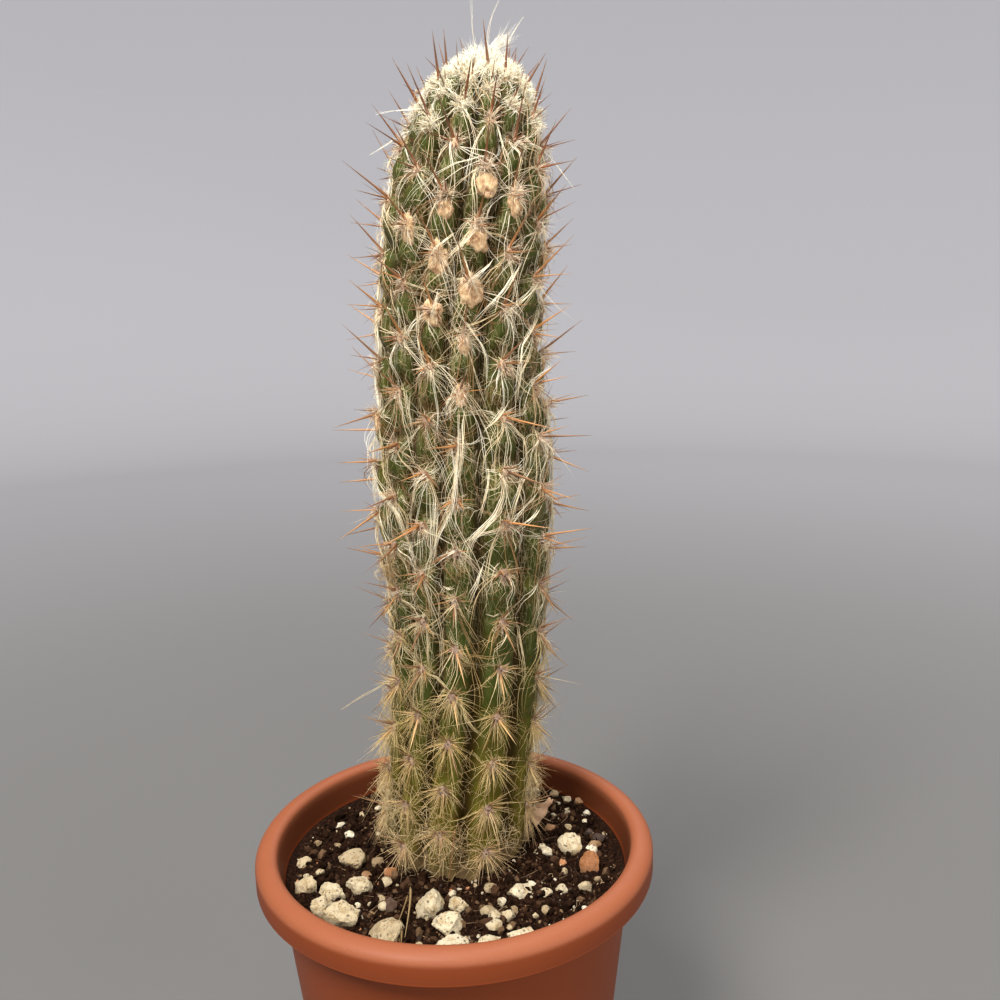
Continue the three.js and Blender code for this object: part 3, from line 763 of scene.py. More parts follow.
def ribTurn(rib, height):  # direction of a rib's crest, in radians
    measured = np.stack([np.polyval(line, np.clip(height, 0, ribSet["topLevel"])) for line in frontRibs])
    turns, index = np.divmod(rib, ribSet["count"])
    last = len(frontRibs) - 1
    start = np.take_along_axis(measured, np.minimum(index, last)[None], 0)[0]
    share = np.maximum(0, index - last) / (ribSet["count"] - last)
    return np.radians(mix(start, measured[0] + 360, share) + 360 * turns)


def ribbedTurn(around, height):  # direction at a place round the stem, counted in ribs
    rib = np.floor(around).astype(int)
    return mix(ribTurn(rib, height), ribTurn(rib + 1, height), around - rib)


def ribPlace(way, angle):  # the place round the stem, counted in ribs, of a direction
    level = np.broadcast_to(outline(way)[0], angle.shape).ravel()
    crests = [ribTurn(np.full(level.shape, rib), level) for rib in range(ribSet["count"] + 1)]
    past = np.mod(angle.ravel() - crests[0], tau)
    place = sum(np.clip((past - (a - crests[0])) / (b - a), 0, 1) for a, b in zip(crests, crests[1:]))
    return place.reshape(angle.shape)


def areoleRows():  # beat, way up the surface and spacing of each quarter step
    step = areoleSet["step"] / 4
    way = areoleSet["first"] - 3 * step
    rows = []
    while way < crownStart:
        rows.append((len(rows) - 3, way, step))
        way += step
    turn = asin((way - crownStart) / crownTall)
    while crownWide * cos(turn) > areoleSet["lastRow"]:
        if crownStart + crownTall * sin(turn) > areoleSet["tightenHeight"]:
            step *= areoleSet["tightenRate"]
        rows.append((len(rows) - 3, crownStart + np.interp(turn, crownTurns, crownArc), step))
        turn += step / hypot(crownWide * sin(turn), crownTall * cos(turn))
    return np.array(rows)


areoleTable = areoleRows()


class Areole:
    def __init__(self, rib, beat, way, tight):
        height, _, slope = outline(way)
        self.rib, self.beat, self.way, self.tight = rib, beat, way, tight
        self.level, self.slope = float(height), float(slope)
        self.angle = float(ribTurn(np.array([rib]), np.array([height]))[0])
        self.middle = onStem(way, self.angle, 0)
        self.out = outward(way, self.angle)
        self.right = np.array([cos(self.angle), sin(self.angle), 0])
        self.up = np.cross(self.out, self.right)

    def chance(self, kind):
        return draw(self.rib, self.beat, kind)

    def side(self, degrees):  # from up towards the right
        return self.up * cos(radians(degrees)) + self.right * sin(radians(degrees))

    def lean(self, degrees, lift):
        return self.out * sin(radians(lift)) + self.side(degrees) * cos(radians(lift))


def listAreoles():
    found = []
    for beat, way, step in areoleTable:
        height, radius, _ = outline(way)
        if height > areoleSet["lowest"] and radius > areoleSet["bareRadius"]:
            found += [Areole(rib, int(beat), way, step / areoleTable[0, 2])
                      for rib in range(ribSet["count"]) if (beat - 2 * (rib % 2)) % 4 == 0]
    return found


areoles = listAreoles()


# Skin

def skinDepth(way, around):  # how far the skin lies inside the smooth column, with its two marks
    height, radius, _ = outline(way)
    valley = 1 - np.abs(1 - 2 * (around - np.floor(around)))
    nearest = np.round(around).astype(int)
    beat = np.interp(way, areoleTable[:, 1], areoleTable[:, 0])
    tight = np.interp(way, areoleTable[:, 1], areoleTable[:, 2]) / areoleTable[0, 2]
    past = (beat + valley ** 1.4 - 2 * (nearest % 2)) % 4 / 4
    high = smooth(*ribSet["noseLevels"], height)
    notch = (smooth(0, 0.14, past) - smooth(0.16, 0.62, past)) * (1 - 0.85 * valley ** 2.1)
    swell = np.sin(pi * past) ** 2 * (1 - valley ** 2)
    groove = grooveDepth(height, valley) * np.minimum(1, radius / ribSet["fullRadius"])
    nose = tight * (mix(*ribSet["noseDrop"], high) * notch - high * swell)
    return (groove + nose) * smooth(stemLength, stemLength - 6, way), valley, notch * high


def grooveDepth(height, valley):
    return ribSet["depth"] * smooth(*ribSet["fade"], height) * valley ** ribSet["valleySharpness"]


def makeSkin():
    s = stemSet
    rootRows = ribSet["rootRows"]
    rows = rootRows + int(stemLength / ribSet["rowHeight"])
    columns = ribSet["count"] * ribSet["columns"]
    bpy.ops.mesh.primitive_grid_add(x_subdivisions=columns, y_subdivisions=rows, size=2)
    skin = made("stemSkin")
    square = readPoints(skin)
    around = np.round((square[:, 0] + 1) / 2 * columns) / ribSet["columns"]
    row = np.round((square[:, 1] + 1) / 2 * rows)
    way = np.maximum(0, row - rootRows) / (rows - rootRows) * stemLength
    turn = ribbedTurn(around, outline(way)[0])
    inward, valley, notch = skinDepth(way, around)
    points = onStem(way, turn, -inward)
    lumps = [noise.noise(Vector(p) / 5) + 0.5 * noise.noise(Vector(p * (1, 1, 2.5)) / 3) for p in points]
    points = onStem(way, turn, 0.3 * np.array(lumps) * smooth(stemLength, stemLength - 6, way) - inward)
    below = row < rootRows
    rootTurn = (1 - row / rootRows)[below] * pi / 2
    depth = -s["rootDepth"] * np.sin(rootTurn)
    reach = s["rootRadius"] * np.cos(rootTurn) - grooveDepth(depth, valley[below])
    turn = turn[below]
    points[below] = np.stack([s["footX"] + reach * np.sin(turn), s["back"] - reach * np.cos(turn),
                              soilLevel + depth], 1)
    writePoints(skin, points * mm)
    addMark(skin, "valley", valley)
    addMark(skin, "notch", notch)
    editWhole(skin)
    leaveEdit(closed=True)
    dress(skin, skinFinish(), "stem")


def skinFinish():
    f = Finish("cactusSkin", 0.1)
    height = f.height(soilLevel)
    clouds = f.grain(14, 3)
    mottle = f.grain(2.2, 4, 0.6)
    old = f.blend(mottle, (0.061, 0.055, 0.004), (0.17, 0.14, 0.02))
    f.colour = f.blend(mottle, (0.028, 0.037, 0.006), (0.078, 0.096, 0.019))
    f.stain(height, 150, 110, 0.45, (0.022, 0.038, 0.005))
    f.stain(height + clouds * 60, 132, 36, 1, old)
    f.stain(clouds, 0.55, 0.75, 0.45, (0.17, 0.155, 0.026))
    f.stain(f.cells(0.55), 0.12, 0.04, 0.3, (0.3, 0.28, 0.1))
    f.stain(f.grain(4, 3, 0.6), 0.54, 0.66, 0.55, (0.105, 0.052, 0.015))
    # painted shade in the furrows between the ribs
    f.stain(f.mark("valley"), 0.45, 0.9, 0.92, (0.026, 0.014, 0.002))
    # painted shade in the notches above the areoles
    f.stain(f.mark("notch"), 0.3, 0.9, 0.75, (0.036, 0.018, 0.003))
    warp = f.node("VectorMath", {0: f.stretched(1, 1, 0.2), 1: f.grain(1.6, 2) * 0.0012}, operation="ADD")
    fuzz = f.band(f.cells(1.5, "DISTANCE_TO_EDGE", warp), 0.1, 0.02)  # the finest hairs lie on the skin
    f.coat(fuzz * f.band(height, 70, 150) * f.band(clouds, 0.3, 0.6) * 0.3, (0.66, 0.58, 0.34))
    f.stain(height, 16, -2, 0.8, (0.16, 0.105, 0.055))
    f.stain(height, 319, 324, 1, (0.86, 0.79, 0.6))  # felt under the tip's wool
    return f.done(0.5 + mottle * 0.2, mottle, 0.35)


# Spines

spineSet = dict(
    main=20, second=11.5, side=9, mainRadius=0.58, secondRadius=0.4, sideRadius=0.23,
    upFrom=200,  # level from which the main spines lean up
    downTo=125,  # level to which they lean down
    crownSlope=0.42,
    slightTo=62, slight=0.62,  # below this level the main spines are slighter
    sides=5, cuts=(0.05, 0.35, 0.7),
)


def spineModel():  # a spine of length 1 along z with a swollen foot, width 2 at the foot
    bpy.ops.mesh.primitive_cone_add(vertices=spineSet["sides"], radius1=1, radius2=0.06, depth=1,
                                    location=(0, 0, 0.5))
    bpy.ops.object.transform_apply(location=True)
    spine = made("spine")
    for cut in spineSet["cuts"]:
        editWhole(spine)
        bpy.ops.mesh.bisect(plane_co=(0, 0, cut), plane_no=(0, 0, 1))
        leaveEdit()
    points = readPoints(spine)
    height = np.clip(points[:, 2], 0, 1)
    away = np.linalg.norm(points[:, :2], axis=1)
    wanted = (1 - 0.93 * height ** 1.15) * (1 + 0.35 * np.exp(-height / 0.04))
    points[:, :2] *= (wanted / np.maximum(away, 1e-9))[:, None]
    writePoints(spine, points)
    return spine, height


def spinePlans(areole):  # direction from up, lift, length and radius of each spine of an areole
    s = spineSet
    main, second, side = s["mainRadius"], s["secondRadius"], s["sideRadius"]
    a, b, c, d, e = (areole.chance(kind) for kind in (4, 1, 3, 5, 6))
    full = s["main"] * (0.85 + 0.28 * a)
    if areole.slope > s["crownSlope"]:
        plans = [(84 * (b - 0.5), 40 + 24 * c, s["second"] * (0.6 + e), main * 0.6)]
        if e > 0.4:
            plans = [(84 * (b - 0.5), 40 + 24 * c, full * (0.72 + 0.33 * e), main * 1.22)]
        if d > 0.5:
            plans.append((180 * (d - 0.5), 60 + 20 * b, s["second"], second))
        return plans
    stout = 1 if areole.level > s["slightTo"] else s["slight"]
    if areole.level > s["upFrom"]:
        plans = [(-8 + 44 * (b - 0.5), 36 + 24 * c, full, main)]
    elif areole.level < s["downTo"]:
        plans = [(180 + 56 * (b - 0.5), 26 + 24 * c, full * 0.74 * stout, main * stout)]
    else:
        plans = [((75 + 60 * b) * (1 if a > 0.5 else -1), 46 + 30 * c, full * 1.06, main)]
    if areole.level < s["downTo"]:
        plans.append((90 * (c - 0.5), 44 + 24 * b, s["second"] * (1.0 + 0.55 * d), second * 0.9))
    else:
        plans.append((300 * (c - 0.5), 66 + 20 * b, s["second"] * (0.9 + 0.7 * d), second))
    plans.append((95 + 40 * (a - 0.5), 26 + 22 * d, s["side"] * (0.8 + 0.6 * b), side))
    plans.append((-95 + 40 * (d - 0.5), 26 + 22 * b, s["side"] * (0.8 + 0.6 * c), side))
    return plans


def makeSpines():
    places, tints = [], []
    for areole in areoles:
        for index, (degrees, lift, length, radius) in enumerate(spinePlans(areole)):
            aim = Vector(areole.lean(degrees, lift)).to_track_quat("Z", "X").to_matrix()
            foot = areole.middle - areole.out * 0.4 + areole.side(degrees) * 0.7
            places.append(placed(aim @ Matrix.Diagonal((radius, radius, length)), foot))
            tints.append(1 if index == 1 and areole.level < spineSet["downTo"] else areole.chance(30 + index))
    model, along = spineModel()
    spines = strew("centralSpines", model, places, tint=tints)
    addMark(spines, "along", np.tile(along, len(places)))
    dress(spines, spineFinish())


def spineFinish():
    f = Finish("brownSpine", 0.5, 0.35)
    height = f.height(soilLevel)
    along = f.mark("along")
    streaks = f.grain(0.8, 3)
    middle = f.ramp(along, (0, 0.42, 0.17, 0.055), (0.5, 0.54, 0.25, 0.085), (1, 0.26, 0.17, 0.1))
    high = f.ramp(along, (0, 0.46, 0.17, 0.05), (0.3, 0.17, 0.042, 0.014), (1, 0.05, 0.021, 0.014))
    f.colour = f.ramp(along, (0, 0.48, 0.25, 0.1), (0.5, 0.7, 0.46, 0.2), (1, 0.56, 0.41, 0.21))
    f.stain(height, 60, 140, 1, middle)
    f.stain(height, 235, 300, 1, high)
    f.stain(f.mark("tint"), 0.5, 0.9, 0.75, (0.11, 0.045, 0.028))
    f.coat(streaks * 0.25, (0.56, 0.3, 0.12))
    return f.done(None, streaks, 0.05)


radialSet = dict(
    low=38,  # bristles of an areole near the soil
    high=11, levels=(125, 70), length=(7, 16),
    shortest=0.5,  # length of the high ones against that of the low ones
    fan=85, lift=(6, 46),
    sag=(0.15, 0.35),  # at most, of the high ones and of the low ones
    brown=4, brownLift=(20, 65), brownLength=(6, 12.5),  # stiffer brown ones
    strays=70, strayFan=60, strayLift=(15, 60), strayLength=(12, 24),
    radius=0.13, steps=4,
)


def makeRadials():
    r = radialSet
    bristles = Bunch(r["steps"])
    for areole in areoles:
        low = float(smooth(*r["levels"], areole.level))
        for _ in range(int(mix(r["high"], r["low"], low))):
            degrees = 180 + jitter() * r["fan"]
            length = spread(*r["length"]) * (0.5 + 0.5 * areole.tight) * mix(r["shortest"], 1, low)
            push = areole.lean(degrees, spread(*r["lift"])) * length
            sag = (np.array([0, 0, -1]) * spread(0.02, mix(*r["sag"], low)) + jitter(3) * 0.07) * length
            foot = areole.middle + areole.side(degrees) * 0.8 - areole.out * 0.3
            foot += areole.up * spread(-1.6, 1.2)
            bristles.add(foot, push, sag, r["radius"] * spread(0.6, 1.2), areole.out, spread(0.3, 1))
        for _ in range(r["brown"]):
            push = areole.lean(spread(0, 360), spread(*r["brownLift"])) * spread(*r["brownLength"])
            push *= 0.4 + 0.6 * areole.tight
            sag = jitter(3) * 0.5
            bristles.add(areole.middle, push, sag, r["radius"] * 1.35, areole.out, spread(0, 0.14))
    for _ in range(r["strays"]):  # longer pale ones that stand away from the stem
        areole = areoles[rng.integers(len(areoles) * 3 // 4)]
        length = spread(*r["strayLength"])
        push = areole.lean(180 + jitter() * r["strayFan"], spread(*r["strayLift"])) * length
        sag = jitter(3) * 0.16 * length
        bristles.add(areole.middle, push, sag, r["radius"], areole.out, spread(0.85, 1))
    bristles.make("radialSpines", radialFinish())


def radialFinish():
    f = Finish("strawBristle", 0.4, 0.4)
    height = f.height(soilLevel)
    tint = f.mark("tint")
    f.colour = f.ramp(tint, (0, 0.09, 0.045, 0.02), (0.14, 0.34, 0.17, 0.055), (0.35, 0.53, 0.36, 0.12),
                      (1, 0.82, 0.65, 0.33))
    high = f.ramp(tint, (0, 0.09, 0.04, 0.025), (0.14, 0.36, 0.15, 0.06), (0.4, 0.84, 0.66, 0.42),
                  (1, 0.97, 0.88, 0.66))
    f.stain(height, 60, 150, 1, high)
    f.stain(height, 50, 10, 0.5, (0.72, 0.5, 0.33))
    f.stain(f.mark("along"), 0.6, 1.0, 0.3, (0.5, 0.33, 0.17))
    return f.done()


# Felt: each areole has a small pad with short woolly fibres, and some in the upper half have a large one

feltSet = dict(
    fibres=32, bigFibres=80, length=(1.8, 5.6), lift=(15, 80), radius=0.14, steps=3,
    chance=0.2, wildLevels=(195, 295),  # of a large pad on the sides and back, and where
    thickness=1, bigThickness=1.6,
)
# rib and beat, how far the pad's middle is below its areole, width and height
bigPads = {
    (2, 52): (7.5, 7.5, 9), (0, 48): (1.5, 6, 11), (2, 48): (6, 7.5, 9), (1, 46): (2.5, 7, 12),
    (2, 44): (4, 8.5, 12), (1, 42): (1.5, 7, 10), (2, 40): (3, 4, 8), (2, 36): (1, 4, 9),
    (3, 50): (4, 5.5, 9), (1, 50): (5, 5.5, 6.5),
}


def padPlan(areole):  # drop, width and height of a pad, and if it is large
    low, high = feltSet["wildLevels"]
    if low < areole.level < high and areole.rib > 4 and areole.chance(60) < feltSet["chance"]:
        return 4 * areole.chance(61), 6 + 4 * areole.chance(62), 7 + 5 * areole.chance(63), True
    if (areole.rib, areole.beat) in bigPads:
        return *bigPads[areole.rib, areole.beat], True
    size = (0.5 + 0.5 * areole.tight) * (0.85 + 0.35 * areole.chance(64))
    return 0.9 * size, 3.3 * size, mix(4.8, 4.2, smooth(120, 200, areole.level)) * size, False


def makeFelt():
    small, large, marks = [], [], []
    fibres = Bunch(feltSet["steps"])
    for areole in areoles:
        drop, wide, tall, isLarge = padPlan(areole)
        middle = areole.middle - areole.up * drop * areole.tight + areole.out * 0.2
        thick = feltSet["bigThickness" if isLarge else "thickness"]
        axes = np.stack([areole.right * wide / 2, areole.up * tall / 2, areole.out * thick], 1)
        if isLarge:
            large.append(bigPad(axes, middle, areole.rib * 100 + areole.beat))
        else:
            small.append(placed(axes, middle))
            marks.append(areole.chance(65))
        high = float(smooth(120, 210, areole.level))
        for _ in range(feltSet["bigFibres"] if isLarge else feltSet["fibres"]):
            turn = spread(0, tau)
            foot = middle + axes @ (cos(turn), sin(turn), 0) * sqrt(rng.random())
            if isLarge:  # a star round the areole, over the top of the pad
                foot = areole.middle + areole.out * 0.8 + jitter(3) * 1.1
            push = areole.lean(90 - np.degrees(turn), spread(*feltSet["lift"])) * spread(*feltSet["length"])
            push *= (0.5 + 0.5 * areole.tight) * mix(0.75, 1.15, high)
            fibres.add(foot - areole.out * 0.2, push, jitter(3) * 0.7, feltSet["radius"], areole.out,
                       mix(0.1, 0.45, high) + 0.55 * rng.random())
    fibres.make("areoleFelt", tinted("areoleFelt", 0.95, (0, 0.28, 0.18, 0.13), (0.3, 0.64, 0.43, 0.31),
                                     (0.6, 0.9, 0.7, 0.52), (1, 1, 0.9, 0.72)))
    dress(strew("areolePads", ball("pad", 2), small, tint=marks), padFinish())
    dress(joinAll("corkyPads", large), patchFinish())


def bigPad(axes, middle, seed):
    pad = ball("pad", 3)
    points = readPoints(pad)
    shift = Vector((seed * 3.7 % 41, seed * 1.3 % 29, seed * 2.9 % 37))
    rough = [noise.fractal(Vector(p) * 1.6 + shift, 0.7, 2.2, 4) for p in points]
    folds = [noise.voronoi(Vector(p) * 2.6 + shift)[0][0] for p in points]
    reach = 1 + 0.36 * np.array(rough) + 0.3 * (np.array(folds) - 0.4)
    writePoints(pad, ((points * reach[:, None]) @ axes.T + middle) * mm)
    return pad


def padFinish():
    f = Finish("areolePad", 0.1, 0.95)
    fuzz = f.grain(0.5, 3, 0.7)
    f.colour = f.blend(f.band(f.height(soilLevel), 110, 200), (0.4, 0.29, 0.23), (0.66, 0.47, 0.32))
    f.stain(f.mark("tint"), 0.2, 0.9, 0.4, (0.3, 0.2, 0.15))
    f.stain(f.cells(1.5), 0.36, 0.24, 0.9, (0.045, 0.025, 0.018))
    f.stain(fuzz, 0.5, 0.35, 0.6, (0.16, 0.09, 0.06))
    return f.done(None, fuzz, 0.4)


def patchFinish():
    f = Finish("corkyPatch", 0.2, 0.85)
    lumps = f.grain(2.4, 4, 0.6)
    fibres = f.grain(0.7, 4, 0.7, f.stretched(1, 1, 0.4))
    f.colour = f.ramp(lumps, (0.32, 0.2, 0.1, 0.05), (0.44, 0.48, 0.29, 0.15), (0.56, 0.7, 0.49, 0.27),
                      (0.75, 0.88, 0.7, 0.46))
    f.stain(fibres, 0.48, 0.66, 0.5, (0.92, 0.72, 0.54))
    f.stain(fibres, 0.42, 0.3, 0.6, (0.2, 0.1, 0.05))
    return f.done(None, lumps * 0.6 + fibres * 0.5, 0.7)


# Hair: short curls that hug the skin, long hairs, and locks of long hair

hairSet = dict(
    lockSteps=17, lockRadius=0.12, lockLift=3.6, clumpWidth=0.35,
    lockHairs=9,  # in a lock of thickness 1, besides two
    moreLocks=30, moreAngles=(60, 300), moreLevels=(125, 290), moreThick=(0.35, 0.95),
    bare=0.5, bareAngle=0.7, bareWidth=0.55,  # fewer hairs grow low down on the right of the front
    bareLevels=(165, 115),
    matSteps=6, matLength=(7, 18), matLift=(0.4, 5.5), matRadius=(0.07, 0.12), fallenRadius=0.32,
    perMm=1.8,  # degrees round the stem
)
# levels and first ribs of the areoles that grow it, clumps to an areole, hairs to a clump, how far off
# they start, length, radius, how far they turn from down, and lift over the skin
longHair = dict(
    levels=(92, 400), ribs=12, clumps=3, hairs=3, scatter=1.2, length=(16, 44), radius=0.14,
    turn=(0.1, 0.75), lift=(0.8, 5.2), steps=11, wave=0.25, droop=0.8, sink=0.35, tints=(0.1, 1),
)
fineHair = dict(
    levels=(92, 400), ribs=12, clumps=9, hairs=3, scatter=1.8, length=(5, 17), radius=0.105,
    turn=(0.35, 0.9), lift=(0.3, 4.8), steps=6, wave=0.45, droop=0.5, sink=0.8, tints=(0, 1),
)
lowHair = dict(
    levels=(0, 92), ribs=12, clumps=16, hairs=2, scatter=2.2, length=(6, 21), radius=0.072,
    turn=(0.1, 0.9), lift=(0.5, 5.5), steps=6, wave=0.4, droop=0.6, sink=0.3, tints=(0.1, 0.75),
)
crossingHair = dict(
    levels=(35, 300), ribs=5, clumps=28, hairs=1, scatter=6, length=(4, 10), radius=0.078,
    turn=(0.1, 1.5), lift=(0.4, 2.6), steps=4, wave=0.5, droop=0.2, sink=0.8, tints=(0.08, 0.66),
)
# thickness of a lock, then degrees right of the front and height of each point along it
lockRoutes = [
    (0.9, -3, 203, -4, 184, -9, 161, -12, 158, -18, 151, -22, 144, -28, 131),
    (0.5, 2, 203, -1, 194, -2, 184, -5, 173, -4, 165),
    (1.1, 22, 175, 23, 167, 17, 159, 9, 154, 2, 149, -1, 142, -2, 133),
    (0.5, 11, 141, 6, 135, 2, 129, 0, 123),
    (0.7, -84, 168, -51, 162, -43, 158, -41, 152, -35, 146, -33, 138),
    (0.7, -26, 174, -20, 168, -19, 159, -20, 150, -21, 144, -26, 138, -29, 128),
    (0.4, 26, 193, 38, 187, 39, 178, 38, 172),
    (0.5, 53, 178, 34, 170, 29, 162, 28, 152),
    (0.4, 29, 202, 18, 195, 9, 189),
    (0.5, 56, 159, 34, 153, 28, 150),
    (0.4, 14, 178, 11, 168, 6, 156),
    (0.45, -7, 264, -16, 259, -24, 253),
    (0.6, 9, 267, -4, 258, -15, 253),
    (0.4, -2, 257, 5, 247, 12, 237),
    (0.4, -15, 244, -18, 237, -21, 232),
    (0.45, 21, 255, 9, 249, -3, 242),
    (0.6, 42, 254, 34, 249, 25, 242, 17, 237, 8, 231),
    (0.45, 65, 246, 40, 239, 29, 234, 21, 229),
    (0.6, 65, 235, 51, 228, 39, 222, 38, 213, 37, 207, 30, 202),
    (0.45, -7, 239, 3, 231, 12, 223, 15, 218, 15, 203),
    (0.5, -34, 245, -28, 236, -27, 226, -24, 218, -18, 210, -10, 205),
    (0.35, -54, 309, -36, 303, -24, 297),
    (0.35, -41, 316, -19, 310, -5, 305),
    (0.35, 9, 302, 17, 305, 27, 308),
    (0.5, 36, 300, 46, 294, 77, 291),
    (0.5, 32, 116, 34, 102, 39, 88, 37, 79),
    (0.4, -30, 114, -27, 105, -27, 91),
    (0.5, -8, 85, -4, 80, -2, 76, 5, 70, 17, 63),
    (0.35, -8, 85, -10, 78, -10, 73),
    (0.4, -41, 210, -36, 205, -33, 195, -31, 188),
    (0.9, 80, 204, 84, 180, 88, 163, 89, 149, 86, 137),
    (0.6, -88, 196, -84, 180, -80, 166, -76, 150),
]
# hairs that stand free, as points in the frame
freeHairs = [
    (18.6, 10, 453, 18.9, 10, 464, 17.5, 10, 468, 17.5, 10, 480),
    (22.6, 10, 461, 23.5, 10, 469, 25.2, 10, 475, 27.9, 10, 480),
    (29.4, 10, 461, 31.7, 10, 466.6, 34.1, 10, 470.8, 37.1, 10, 474),
    (23, 10, 460, 25.3, 10, 465.6, 28, 10, 467.4, 31.4, 10, 468),
    (-1, -6, 440, -9, 4, 441, -14, 5, 440.7, -19.9, 5, 439.8),
    (-7, 0, 433, -12, 8, 431.6, -16.9, 10, 428.8, -23.1, 10, 425.7),
    (35, -4, 430, 40.9, 2, 427, 45.4, 2, 423.3, 50.6, 2, 416.3, 54.4, 2, 410.8),
    (-23, 8, 213, -28.2, 8, 210.5, -37.4, 8, 205.9, -47, 8, 200),
]
# a brown hair that hangs down to the soil in front
fallenHair = [(0, -19.6, 157), (-1.5, -21, 147.2), (-2.6, -22, 139), (-4.2, -22, 131.1)]
# matted dead hair: degrees right of the front, height, width and height of the mat, hairs and tint
mats = [
    (-74, 27, 16, 32, 100, 0.5), (-9, 16, 24, 24, 58, 0.25), (-38, 22, 20, 34, 60, 0.45),
    (80, 28, 14, 30, 70, 0.55), (15, 12, 20, 18, 20, 0.4), (-64, 131, 17, 24, 90, 0.15),
    (130, 20, 20, 22, 40, 0.3), (-130, 24, 20, 24, 40, 0.4), (180, 18, 22, 20, 40, 0.3),
    (46, 14, 18, 20, 36, 0.4),
]


def flow(way, angle):  # a turn shared by neighbouring hairs
    return 0.45 * np.sin(way / 13 + 3 * np.sin(2 * angle + 0.7)) + 0.35 * np.sin(5 * angle + way / 29)


def roam(way, angle, heading, length, lift, steps, wave, droop=0, sink=0, clump=1):
    # follows many hairs at once over the stem; heading is 0 up, a quarter turn right
    share = np.linspace(0, 1, steps)

    def vary(low, high):
        return np.repeat(spread(low, high, (len(way) // clump, 1)), clump, axis=0)

    bend = np.zeros((len(way), steps))
    for pace, size in ((0.6, 0.9), (1.4, 0.5), (2.6, 0.25)):
        phase = vary(0, tau)
        waves = np.sin(tau * pace * vary(0.7, 1.3) * share + phase) - np.sin(phase)
        bend += size * wave * vary(-1.7, 1.7) * waves
    path = np.zeros((len(way), steps, 3))
    normals = np.zeros((len(way), steps, 3))
    rise = (1 - np.exp(-share * 6)) * (0.8 + 0.45 * np.sin(tau * 1.1 * share + vary(0, tau)))
    lifts = lift[:, None] * rise - 0.2
    pace = length / (steps - 1)
    for step in range(steps):
        hollow = skinDepth(way, ribPlace(way, angle))[0] * sink if sink else 0
        path[:, step] = onStem(way, angle, lifts[:, step] - hollow)
        normals[:, step] = outward(way, angle)
        turn = heading + bend[:, step] + flow(way, angle) * share[step]
        turn = turn + droop * share[step] * np.sin(pi - turn)
        radius = np.maximum(6, outline(way)[1] + lifts[:, step])
        way = np.clip(way + pace * np.cos(turn), 1, stemLength - 2)
        angle = angle + pace * np.sin(turn) / radius
    return path, normals


def hairStarts(chosen, each, scatter):
    way, angle, tight = np.repeat([(a.way, a.angle, a.tight) for a in chosen], each, axis=0).T
    way = np.clip(way + jitter(len(way)) * scatter, 2, stemLength - 3)
    return way, angle + jitter(len(way)) * scatter / 30, tight


def combed(bunch, kind):  # adds hairs in clumps that fan out from their areoles
    h = hairSet
    low, high = kind["levels"]
    chosen = [a for a in areoles if low < a.level <= high and a.rib < kind["ribs"]]
    way, angle, tight = hairStarts(chosen, kind["clumps"], kind["scatter"])
    bare = 0.12 + h["bare"] * np.exp(-((angle - h["bareAngle"]) / h["bareWidth"]) ** 2)
    bare *= smooth(*h["bareLevels"], way) * mix(0.4, 1, smooth(60, 95, way))
    kept = rng.random(len(way)) < (tight ** 1.6 + 0.1) * (1 - bare)
    way, angle, tight = way[kept], angle[kept], tight[kept]
    count = len(way)
    least, more = kind["turn"]
    heading = pi + np.sign(jitter(count)) * (least + more * np.abs(jitter(count)))
    length = spread(*kind["length"], count) * (0.55 + 0.45 * tight)
    lift = mix(*kind["lift"], rng.random(count) ** 1.5)
    tint = spread(*kind["tints"], count)
    way, angle, heading, length, lift, tint = np.repeat([way, angle, heading, length, lift, tint],
                                                        kind["hairs"], axis=1)
    off = jitter((5, len(way)))
    way = np.clip(way + off[0] * h["clumpWidth"], 2, stemLength - 3)
    angle = angle + off[1] * h["clumpWidth"] / 32
    paths, refs = roam(way, angle, heading + off[2] * 0.1, length * (1 + off[3] * 0.12),
                       np.abs(lift + off[4] * 0.3), kind["steps"], kind["wave"], kind["droop"],
                       kind["sink"], kind["hairs"])
    bunch.addMany(paths, refs, kind["radius"] * spread(0.6, 1.3, len(way)), tint)


def makeHair(name, *kinds):
    hair = Bunch(kinds[0]["steps"])
    for kind in kinds:
        combed(hair, kind)
    hair.make(name, hairFinish())


def eased(points, steps):  # a smooth line of this many steps along a route
    points = np.array(points, float)
    shares = np.append(0, np.cumsum(np.linalg.norm(np.diff(points, axis=0), axis=1)))
    at = np.linspace(0, shares[-1], steps)
    line = np.stack([np.interp(at, shares, column) for column in points.T], 1)
    for _ in range(3):
        line[1:-1] = (line[:-2] + 2 * line[1:-1] + line[2:]) / 4
    return line


def wildRoute(seed):  # a lock on the sides or back, made up
    angle = mix(*hairSet["moreAngles"], draw(seed, 1, 90))
    level = mix(*hairSet["moreLevels"], draw(seed, 2, 90))
    route = [mix(*hairSet["moreThick"], draw(seed, 4, 90)), angle, level]
    for k in range(3 + int(3 * draw(seed, 3, 90))):
        angle += 26 * (draw(seed, 10 + k, 90) - 0.5)
        level -= 7 + 6 * draw(seed, 20 + k, 90)
        route += [angle, level]
    return route


